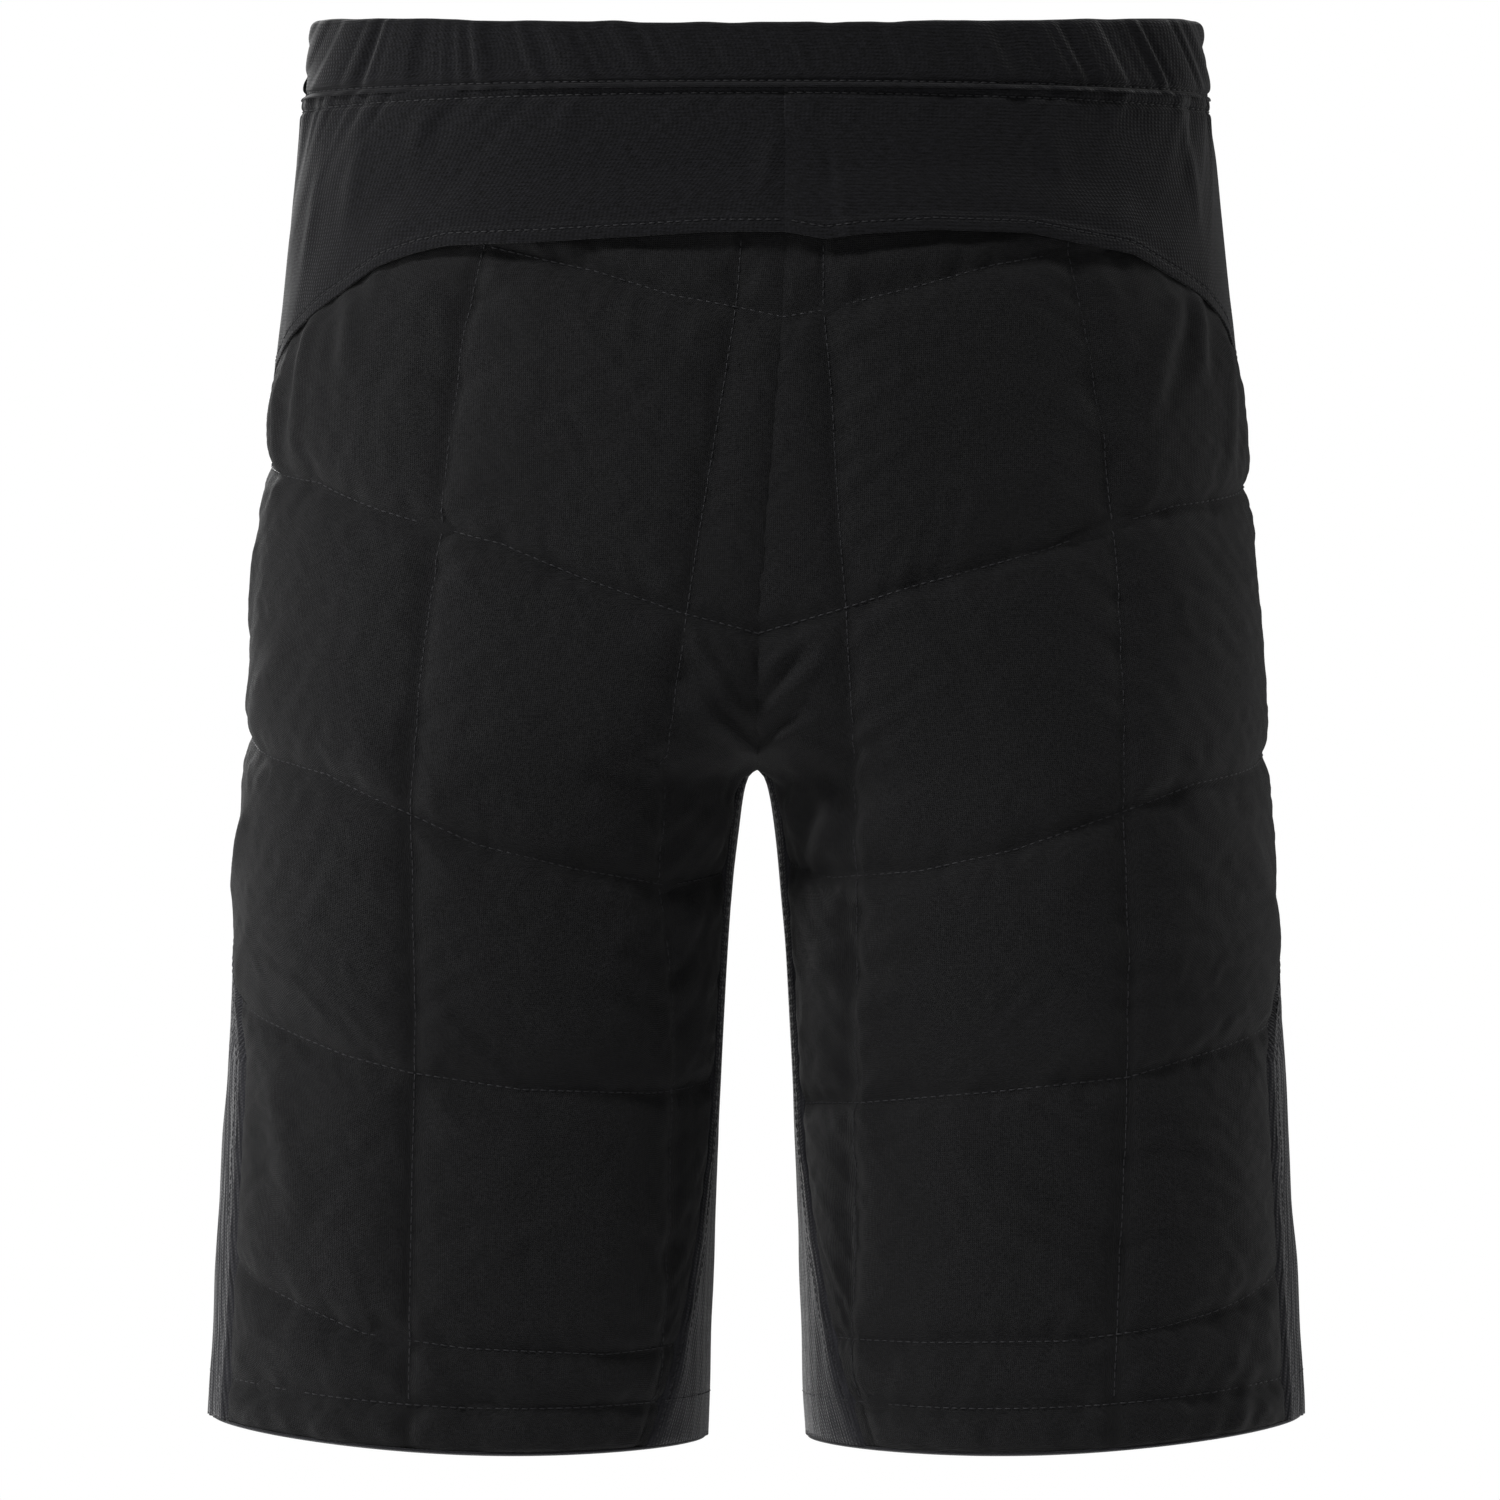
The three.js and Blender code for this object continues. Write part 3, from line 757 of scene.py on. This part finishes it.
for side, hand in HANDS.items():
    for place, middle_angle, half_angle, top, cut, cut_area in [
        ("side", 0, side_insert_angle, SIDE_INSERT_TOP, (0.085, 0.225), 0.0160),
        ("inner", math.pi, inner_insert_angle, INNER_INSERT_TOP, (0.130, 0.285), 0.0225),
    ]:
        across = np.linspace(-1, 1, INSERT_COLUMNS)[None, :] * np.ones((INSERT_ROWS, 1))
        down = np.linspace(0, 1, INSERT_ROWS)[:, None] * np.ones((1, INSERT_COLUMNS))
        z = mix(-top, -OUTSEAM, down)
        radius = half_width(z) / 2
        # The hem's height depends on the angle and the insert's width on the height, so they are found in turn
        for _ in range(INSERT_PASSES):
            angle = middle_angle + across * (half_angle(z) + INSERT_LAP / radius)
            z = -mix(top, hem_drop(angle) - HEM_WALL, down)
        plain = all_round(side, z, angle, 0)
        run = run_lengths(plain, 1)
        width = run[:, -1:]
        from_edge = np.minimum(run, width - run) - INSERT_LAP
        rib = np.cos((run - width / 2) / RIB_SPACING * 2 * np.pi) * ease(from_edge, 7 * MM, 11 * MM)
        seam = sum(np.exp(-(((from_edge - at) / (1.2 * MM)) ** 2)) for at in FLAT_SEAM)
        soft = 0.5 * MM * cloud(run, -z, 26 * MM, 60 + side)
        soft = soft + 0.4 * MM * ripple(-z, 11 * MM, 61) * np.exp(-np.abs(from_edge) / (8 * MM))
        proud = RIB_HEIGHT[place] * rib + SEAM_RIDGE * seam + soft
        proud = proud - LAP_DROP * (1 - ease(from_edge, -0.5 * MM, 2 * MM)) - 0.2 * MM
        outside = all_round(side, z, angle, proud)
        inside = all_round(side, z, angle, proud - INSERT_THICKNESS)
        if place == "inner":
            for grid in (outside, inside):
                grid[..., 0] = side * np.maximum(side * grid[..., 0], CENTRE_CLEARANCE)
        insert_surfaces[place, side] = (outside, outside - inside, from_edge, top, hem_drop(angle))
        insert = closed_body(f"{place}_insert_{hand}", outside, inside, insert_knit)
        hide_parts(f"{place}_insert_hip_{hand}", f"{place}_insert_leg_{hand}")
        bend_at_crotch(insert)


# Hem facings
# A strip of jersey turned under the bottom edge of each leg and up the inside, where the hem's row of
# stitches holds its upper edge. Its faces are given as millimetres proud of the leg and above the edge.
HEM_TURN_OUT = [
    (-0.9, 0.5), (-1.3, -0.3), (-2.4, -0.8), (-5.4, -0.9), (-8.6, -0.5), (-9.7, 0.8), (-9.9, 4), (-9.9, 19),
]
HEM_TURN_IN = [
    (-1.5, 1.0), (-1.9, 0.5), (-2.8, 0.1), (-5.4, 0.0), (-8.1, 0.3), (-8.8, 1.3), (-9.0, 4), (-9.0, 19),
]
FACING_COLUMNS = 181
FACING_SEAM = 0.003             # half of the gap at the facing's own seam, in radians

for side, hand in HANDS.items():
    angle = np.linspace(FACING_SEAM - math.pi, math.pi - FACING_SEAM, FACING_COLUMNS)[None, :]
    angle = angle * np.ones((len(HEM_TURN_OUT), 1))
    grids = []
    for turn in (HEM_TURN_OUT, HEM_TURN_IN):
        proud = np.array([p for p, _ in turn])[:, None] * MM
        lift = np.array([h for _, h in turn])[:, None] * MM
        grids.append(all_round(side, -hem_drop(angle) + lift, angle, proud * np.ones_like(angle)))
    facing = closed_body(f"hem_facing_turned_{hand}", *grids, insert_knit)
    smooth_once(facing)
    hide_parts(f"hem_facing_{hand}")
    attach(facing, f"{hand}_leg")


# Yoke
# A smooth jersey yoke joins the quilting to the waistband. Its lower edge is turned up in a narrow band with
# one row of stitches, and laps over the top of the quilting. At the front it stands a little away from it.
yoke_knit = knit_material("heather jersey", "#060607", "#151518", (0.25, 1.4, 1), 0.12)

# How far down the waist's two rows of stitches lie at the side seams, and in the middle of the front and back
WAIST_STITCH_SIDE = (31 * MM, 38.5 * MM)
WAIST_STITCH_CENTRE = {1: (29.3 * MM, 34.2 * MM), -1: (30 * MM, 35 * MM)}
RIM_DIP = {1: 5 * MM, -1: 1 * MM}
YOKE_THICKNESS = 1.1 * MM
YOKE_BAND = 6.6 * MM
BAND_STITCH = 5.2 * MM
YOKE_RUN = 130 * MM             # the length round the yoke for each radian
YOKE_MIDDLE = 50 * MM
YOKE_ROWS, YOKE_COLUMNS = 70, 121
# The rows lie closer together near the waist stitches and near the lower edge: distances from each
NEAR_WAIST = np.linspace(0, 12, 17)[:, None] * MM
NEAR_EDGE = np.array([14, 11, 9, 7.5, 6.3, 5.6, 5.1, 4.6, 4.2, 3.8, 3.4, 2.6, 1.8, 1, 0.4, 0])[:, None] * MM
# How far the gathers slant sideways for each millimetre down, for each face and side
SLANT = {(1, 1): -0.5, (1, -1): 0.6, (-1, 1): 0.4, (-1, -1): -0.4}


def waist_stitch(face, angle, row):
    return mix(WAIST_STITCH_SIDE[row], WAIST_STITCH_CENTRE[face][row], np.sin(angle) ** 2)


def gathered(run, spacing, seed):
    """Gathers of elasticated cloth, 0 to 1: broad ridges with narrow valleys between them."""
    wave = ripple(run, spacing, seed) + 0.35 * ripple(run, spacing / 3, seed + 1)
    return 1 - np.exp(-((wave / 0.42) ** 2))


# Small creases in the yoke: degrees round from the side seam and millimetres down, then how tall, how wide
# and how high each one is, in millimetres from its middle
YOKE_CREASES = {
    1: [(82, 84, 16, 2.2, 1.6), (84, 66, 12, 2.0, -1.2), (52, 60, 14, 4, 1.0), (24, 62, 22, 4, 1.2)],
    -1: [
        (88, 62, 14, 2.0, 1.2), (34, 68, 20, 5, 1.3), (22, 84, 24, 5, 1.2), (46, 52, 12, 4, 1.2),
        (66, 45, 9, 3, 0.8),
    ],
}


def yoke_proud(side, face, drop, angle):
    """How far the yoke stands proud of the worn shape."""
    run = YOKE_RUN * (angle - math.pi / 2)
    away = yoke_drop(side, np.minimum(angle, math.pi / 2)) - drop
    to_front = ease(angle, math.radians(28), math.radians(55))
    proud = mix(mix(-0.1, 1.7, to_front) * MM, -0.5 * MM, ease(away, 11 * MM, 30 * MM))
    band = mix(0.3, 1.1, to_front) * MM
    proud = proud + band * (1 - ease(away, YOKE_BAND - 0.5 * MM, YOKE_BAND + 0.6 * MM))
    proud = proud - 0.6 * MM * np.exp(-(((away - BAND_STITCH) / (0.8 * MM)) ** 2))
    front_middle = ease(angle, math.radians(48), math.radians(62)) * (face == 1)
    loose = front_middle * (1.5 + 0.8 * ripple(run + side * 0.5, 30 * MM, 31)) + 0.3 * to_front
    proud = proud + loose * MM * (1 - ease(away, 0, 16 * MM))
    below = drop - waist_stitch(face, angle, 1)
    seed = 200 + 5 * face + side
    slant = run + SLANT[face, side] * below
    puckers = (gathered(slant, 10 * MM, seed) - 0.55) * mix(0.4, 1, ease(-run, 50 * MM, 150 * MM))
    flattened = 1 - 0.6 * np.exp(-np.abs(below) / (2 * MM))
    proud = proud + 2.0 * MM * puckers * np.exp(-np.abs(below) / (11 * MM)) * flattened
    long_folds = gathered(slant, 19 * MM, seed + 3) * ease(-run, 30 * MM, 130 * MM)
    proud = proud + 1.3 * MM * long_folds * np.exp(-np.abs(below) / (30 * MM))
    proud = proud - 1.1 * MM * np.exp(-((below / (1.1 * MM)) ** 2))
    proud = proud + 0.45 * MM * cloud(run, drop, 30 * MM, seed + 9)
    proud = proud + 0.35 * MM * ripple(run, 9 * MM, seed + 11) * np.exp(-np.abs(away - YOKE_BAND) / (9 * MM))
    if face == 1:
        for degrees, at, tall, wide, height in YOKE_CREASES[side]:
            lower = drop - at * MM
            across = (run - YOKE_RUN * math.radians(degrees - 90) + 0.12 * lower) / (wide * MM)
            proud = proud + height * MM * np.exp(-(across**2) - (lower / (tall * MM)) ** 2)
    return proud - 0.7 * MM * np.exp(-((run / (1.5 * MM)) ** 2))


for face, face_name in FACES.items():
    for side, hand in HANDS.items():
        share = np.linspace(0, 1, YOKE_COLUMNS)[None, :] * np.ones((YOKE_ROWS, 1))
        angle = mix(-SEAM_ANGLE, float(centre_angle(np.array(-YOKE_MIDDLE))), share)
        top = waist_stitch(face, angle, 0) + 1.2 * MM
        edge = yoke_drop(side, np.clip(angle, 0, math.pi / 2))
        between = np.linspace(0, 1, YOKE_ROWS - len(NEAR_WAIST) - len(NEAR_EDGE) + 2)[1:-1, None]
        drop = np.concatenate([
            top[:1] + NEAR_WAIST,
            mix(top[:1] + NEAR_WAIST[-1], edge[:1] - NEAR_EDGE[0], between),
            edge[:1] - NEAR_EDGE,
        ])
        proud = yoke_proud(side, face, drop, angle)
        proud[0] -= 0.9 * MM
        yoke = closed_body(
            f"jersey_yoke_{face_name}_{hand}",
            worn(side, face, -drop, angle, proud),
            worn(side, face, -drop, angle, proud - YOKE_THICKNESS),
            yoke_knit,
        )
        smooth_once(yoke)
        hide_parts(f"yoke_{face_name}_{hand}")
        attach(yoke, "hips")


# Waistband
# The jersey is folded over a wide elastic and stitched down with two rows of stitches, so that it gathers.
# There is a seam at each side.
RIM_ROUND = 2.4 * MM
CASING_WALL = 0.9 * MM
GATHER = 3.0 * MM
CASING_INSIDE_END = 28 * MM
WAIST_HALF = 165 * MM
# How far the gathers slant sideways for each millimetre down, at these millimetres from the middle
GATHER_SLANT = ((-165, -115, -60, 165), (-0.5, 0, 0.45, 0.35))


def casing_height(face, level, angle):
    """How far down a level of the casing lies: 0 at the rim and 1 at the first row of stitches."""
    rim = RIM_DIP[face] * np.sin(angle) ** 2
    return mix(rim, waist_stitch(face, angle, 0), level)


def casing_proud(side_run, face, drop, angle):
    row = waist_stitch(face, angle, 0)
    above = row - drop
    rim = RIM_DIP[face] * np.sin(angle) ** 2
    slanted = side_run - np.interp(side_run / MM, *GATHER_SLANT) * (drop - rim)
    ridge = gathered(slanted, 7.5 * MM, 300 + face) * (0.8 + 0.2 * ripple(slanted, 23 * MM, 305))
    ridge = ridge * mix(0.4, 1, ease(np.abs(side_run), 20 * MM, 110 * MM))
    hold = 1 - 0.7 * np.exp(-np.abs(above) / (2.5 * MM))
    top = 1 - 0.55 * np.exp(-(drop - rim) / (4 * MM))
    proud = GATHER * ridge * hold * top
    proud = proud - 1.0 * MM * np.exp(-((above / (1.1 * MM)) ** 2))
    return proud + 0.5 * MM * (above < -0.8 * MM)


for face, face_name in FACES.items():
    turn = np.linspace(-SEAM_ANGLE, math.pi + SEAM_ANGLE, 361)[None, :]
    levels = np.concatenate([np.linspace(1, 0.9, 7), np.linspace(0.86, 0.12, 20)])
    lip = np.array([2.6, 1.9, 1.2, 0.6]) * MM
    outer_points, inner_points = [], []
    side_run = WAIST_HALF * np.cos(turn)
    rim = RIM_DIP[face] * np.sin(turn) ** 2
    below_stitches = [waist_stitch(face, turn, 0) + extra for extra in lip]
    for drop in below_stitches + [casing_height(face, level, turn) for level in levels]:
        proud = casing_proud(side_run, face, drop, turn)
        outer_points.append(worn(1, face, -drop, turn, proud))
        inner_points.append(worn(1, face, -drop, turn, proud - CASING_WALL))
    fullness = casing_proud(side_run, face, rim + RIM_ROUND, turn)
    for bend in np.radians([0, 30, 60, 90, 120, 150, 180]):
        for points, radius in [(outer_points, RIM_ROUND), (inner_points, RIM_ROUND - CASING_WALL)]:
            wobble = (1 - bend / math.pi) * fullness
            drop = rim + RIM_ROUND - radius * math.sin(bend) - 0.4 * MM * ripple(side_run, 9 * MM, 320 + face)
            points.append(worn(1, face, -drop, turn, wobble - RIM_ROUND + radius * math.cos(bend)))
    for level in np.linspace(0.2, 1, 12):
        drop = mix(rim + RIM_ROUND, CASING_INSIDE_END, level)
        soft = 0.25 * MM * ripple(side_run, 9 * MM, 330 + face)
        outer_points.append(worn(1, face, -drop, turn, -2 * RIM_ROUND + soft + 0.2 * MM))
        inner_points.append(worn(1, face, -drop, turn, -2 * RIM_ROUND + soft + 0.2 * MM + CASING_WALL))
    casing = closed_body(
        f"waistband_folded_{face_name}", np.concatenate(outer_points), np.concatenate(inner_points),
        yoke_knit,
    )
    smooth_once(casing)
    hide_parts(f"waistband_casing_{face_name}")
    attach(casing, "hips")


# Elastic
# A woven elastic, 22 mm wide, runs round the waist inside the casing. Its cords lie 1.2 mm apart, and its ends
# are sewn together at the back.
ELASTIC_CORD = 1.2

elastic_weave, tree, finish = start_material("woven elastic")
cords = add(
    tree, "ShaderNodeTexWave", {"Vector": flat_lengths(tree), "Scale": WAVE_PERIOD / ELASTIC_CORD},
    bands_direction="Y",
).outputs["Fac"]
elastic_colour = add(
    tree, "ShaderNodeMix", {0: cords, 6: linear("#0f0f10"), 7: linear("#1c1c1e")}, data_type="RGBA",
)
bump = add(tree, "ShaderNodeBump", {"Strength": 0.5, "Distance": 0.0004, "Height": cords})
wire(finish, {
    "Base Color": elastic_colour.outputs[2],
    "Normal": bump.outputs["Normal"],
    "Roughness": 0.7,
    "IOR": 1.5,
})

ELASTIC_HEIGHT = 22 * MM
ELASTIC_THICKNESS = 1.5 * MM
ELASTIC_DROP = 3 * MM           # below the waistband's rim
ELASTIC_INSET = 1.7 * MM        # inside the waistband's outer wall
END_GAP = 0.002                 # half of the gap between its ends, in radians

turn = np.linspace(END_GAP - math.pi / 2, 3 * math.pi / 2 - END_GAP, 241)[None, :] * np.ones((7, 1))
rim = np.where(np.sin(turn) > 0, RIM_DIP[1], RIM_DIP[-1]) * np.sin(turn) ** 2
drop = rim + ELASTIC_DROP + np.linspace(0, 1, 7)[:, None] * ELASTIC_HEIGHT
outside = all_round(1, -drop, turn, -ELASTIC_INSET)
inside = all_round(1, -drop, turn, -ELASTIC_INSET - ELASTIC_THICKNESS)
elastic = closed_body("elastic_band", outside, inside, elastic_weave)
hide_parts("waist_elastic")
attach(elastic, "hips")


# Label
# A blank satin label, folded and sewn inside the back of the waistband. Its threads float side by side, which
# gives it a slight gloss; they are drawn coarser than they are, so that they show.
SATIN_THREAD = 0.9 * MM

label_satin, tree, finish = start_material("woven satin label")
place = add(tree, "ShaderNodeTexCoord", {}).outputs["Object"]
floats = add(
    tree, "ShaderNodeTexWave", {"Vector": place, "Scale": WAVE_PERIOD / SATIN_THREAD}, bands_direction="Z",
).outputs["Fac"]
satin_colour = add(
    tree, "ShaderNodeMix", {0: floats, 6: linear("#262628"), 7: linear("#333336")}, data_type="RGBA",
)
bump = add(tree, "ShaderNodeBump", {"Strength": 0.4, "Distance": 0.0002, "Height": floats})
wire(finish, {
    "Base Color": satin_colour.outputs[2],
    "Normal": bump.outputs["Normal"],
    "Roughness": 0.4,
    "IOR": 1.5,
})
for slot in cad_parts["waist_label"].material_slots:
    slot.material = label_satin


# Stitches
# Every row of stitching is polyester thread, 0.4 mm thick, in stitches of about 3 mm. Each stitch lies on the
# cloth and dips into it at both ends.
thread_polyester, tree, finish = start_material("spun polyester thread")
place = add(tree, "ShaderNodeTexCoord", {}).outputs["Object"]
twist = add(tree, "ShaderNodeTexNoise", {"Vector": place, "Scale": 900.0, "Detail": 2})
thread_colour = add(
    tree, "ShaderNodeMix", {0: twist.outputs["Fac"], 6: linear("#161618"), 7: linear("#262629")},
    data_type="RGBA",
)
wire(finish, {
    "Base Color": thread_colour.outputs[2],
    "Roughness": 0.55,
    "IOR": 1.5,
    "Specular IOR Level": 0.3,
})

STITCH = 2.7 * MM
STITCH_STEP = 3.7 * MM
THREAD_RADIUS = 0.27 * MM       # a little over the real thread's, so that it shows
# One stitch: share along it, how high it lies and how thick it is, in thread radii
STITCH_SHAPE = [(0.0, -0.5, 0.55), (0.12, 0.25, 1.0), (0.5, 0.5, 1.0), (0.88, 0.25, 1.0), (1.0, -0.5, 0.55)]


def sew(name, lines):
    """One mesh of stitches along lines of points on the cloth, each given with the way out of the cloth."""
    points, faces = [], []
    sides = 6
    for line, outward in lines:
        steps = np.linalg.norm(np.diff(line, axis=0), axis=1)
        run = np.insert(np.cumsum(steps), 0, 0)
        starts = np.arange(0.4 * MM, run[-1] - STITCH, STITCH_STEP)
        for start in starts:
            base = len(points)
            at = [start + STITCH * share for share, _, _ in STITCH_SHAPE]
            path = np.stack([np.interp(at, run, line[:, n]) for n in range(3)], 1)
            out = np.stack([np.interp(at, run, outward[:, n]) for n in range(3)], 1)
            out /= np.linalg.norm(out, axis=1, keepdims=True)
            along = path[-1] - path[0]
            aside = np.cross(along, out)
            aside /= np.linalg.norm(aside, axis=1, keepdims=True)
            for n, (_, lift, size) in enumerate(STITCH_SHAPE):
                centre = path[n] + out[n] * lift * THREAD_RADIUS
                for k in range(sides):
                    turn = 2 * math.pi * k / sides
                    ring = math.cos(turn) * aside[n] + math.sin(turn) * out[n]
                    points.append(centre + ring * size * THREAD_RADIUS)
            for n in range(len(STITCH_SHAPE) - 1):
                for k in range(sides):
                    here, there = base + n * sides, base + (n + 1) * sides
                    faces.append((here + k, here + (k + 1) % sides, there + (k + 1) % sides, there + k))
            last = base + (len(STITCH_SHAPE) - 1) * sides
            faces.append(tuple(base + k for k in reversed(range(sides))))
            faces.append(tuple(last + k for k in range(sides)))
    mesh = bpy.data.meshes.new(name)
    mesh.from_pydata([tuple(p) for p in points], [], faces)
    mesh.polygons.foreach_set("use_smooth", [True] * len(faces))
    mesh.materials.append(thread_polyester)
    thread = bpy.data.objects.new(name, mesh)
    scene.collection.objects.link(thread)
    return thread


def lifted(line, outward, lift):
    """A line of points moved out of the cloth, or into it, and the way out."""
    return line + outward / np.linalg.norm(outward, axis=1, keepdims=True) * lift, outward


def cloth_line(side, face, drop, angle, proud):
    """A line just above the cloth and the way out of it, for points at these heights and angles."""
    line = worn(side, face, -drop, angle, proud + WAIST_LIFT)
    return line, worn(side, face, -drop, angle, proud + WAIST_LIFT + MM) - line


# How far the middle of each kind of row lies above the grid that the cloth was made from
ROW_LIFT = 0.75 * MM
UPRIGHT_LIFT = 0.4 * MM
INSERT_LIFT = -0.1 * MM
WAIST_LIFT = 0.3 * MM

for (face, side), (share, z, angle, outside) in panel_surfaces.items():
    face_name, hand = FACES[face], HANDS[side]
    outward = worn(side, face, z, angle, MM) - worn(side, face, z, angle, 0)
    clear = -z > yoke_drop(side, np.clip(angle, 0, math.pi / 2)) - 2 * MM
    lines = []
    for number, row in enumerate(ROW_LINES[1:-1]):
        shown = clear[row] & ((number > 0) | (share[row] > ROWS[side][0][0][0]))
        lines.append(lifted(outside[row][shown], outward[row][shown], ROW_LIFT))
    for column in COLUMN_LINES[1:-1]:
        shown = clear[:, column] & (np.arange(len(z)) <= ROW_LINES[-2])
        lines.append(lifted(outside[:, column][shown], outward[:, column][shown], UPRIGHT_LIFT))
    thread = sew(f"quilting_stitches_{face_name}_{hand}", lines)
    bend_at_crotch(thread)

for side, hand in HANDS.items():
    lines = []
    for place in ("side", "inner"):
        outside, outward, from_edge, top, drop = insert_surfaces[place, side]
        row = (drop[0] - HEM_STITCH - top) / (drop[0] - HEM_WALL - top) * (len(outside) - 1)
        low, column = row.astype(int), np.arange(len(row))
        hem_line = mix(outside[low, column], outside[low + 1, column], (row - low)[:, None])
        within = from_edge[-1] > 0
        lines.append(lifted(hem_line[within], outward[low, column][within], INSERT_LIFT))
        middle = outside.shape[1] // 2
        for at in FLAT_SEAM:
            for half in (slice(0, middle + 1), slice(None, middle - 1, -1)):
                usable = [n for n in range(len(outside) - 1) if from_edge[n, middle] > at + 2 * MM]
                near = np.array([np.interp(at, from_edge[n, half], np.arange(middle + 1)) for n in usable])
                low, n = near.astype(int), np.array(usable)
                part = outside[:, half]
                line = mix(part[n, low], part[n, low + 1], (near - low)[:, None])
                lines.append(lifted(line, outward[:, half][n, low], INSERT_LIFT))
    thread = sew(f"insert_stitches_{hand}", lines)
    bend_at_crotch(thread)

waist_lines = []
for face in (1, -1):
    turn = np.linspace(0, math.pi, 400)
    side_run = WAIST_HALF * np.cos(turn)
    drop = waist_stitch(face, turn, 0)
    waist_lines.append(cloth_line(1, face, drop, turn, casing_proud(side_run, face, drop, turn)))
    for side in (1, -1):
        turn = np.linspace(0.01, math.pi / 2, 220)
        for drop in (waist_stitch(face, turn, 1), yoke_drop(side, turn) - BAND_STITCH):
            waist_lines.append(cloth_line(side, face, drop, turn, yoke_proud(side, face, drop, turn)))
waist_stitches = sew("waist_and_yoke_stitches", waist_lines)
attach(waist_stitches, "hips")
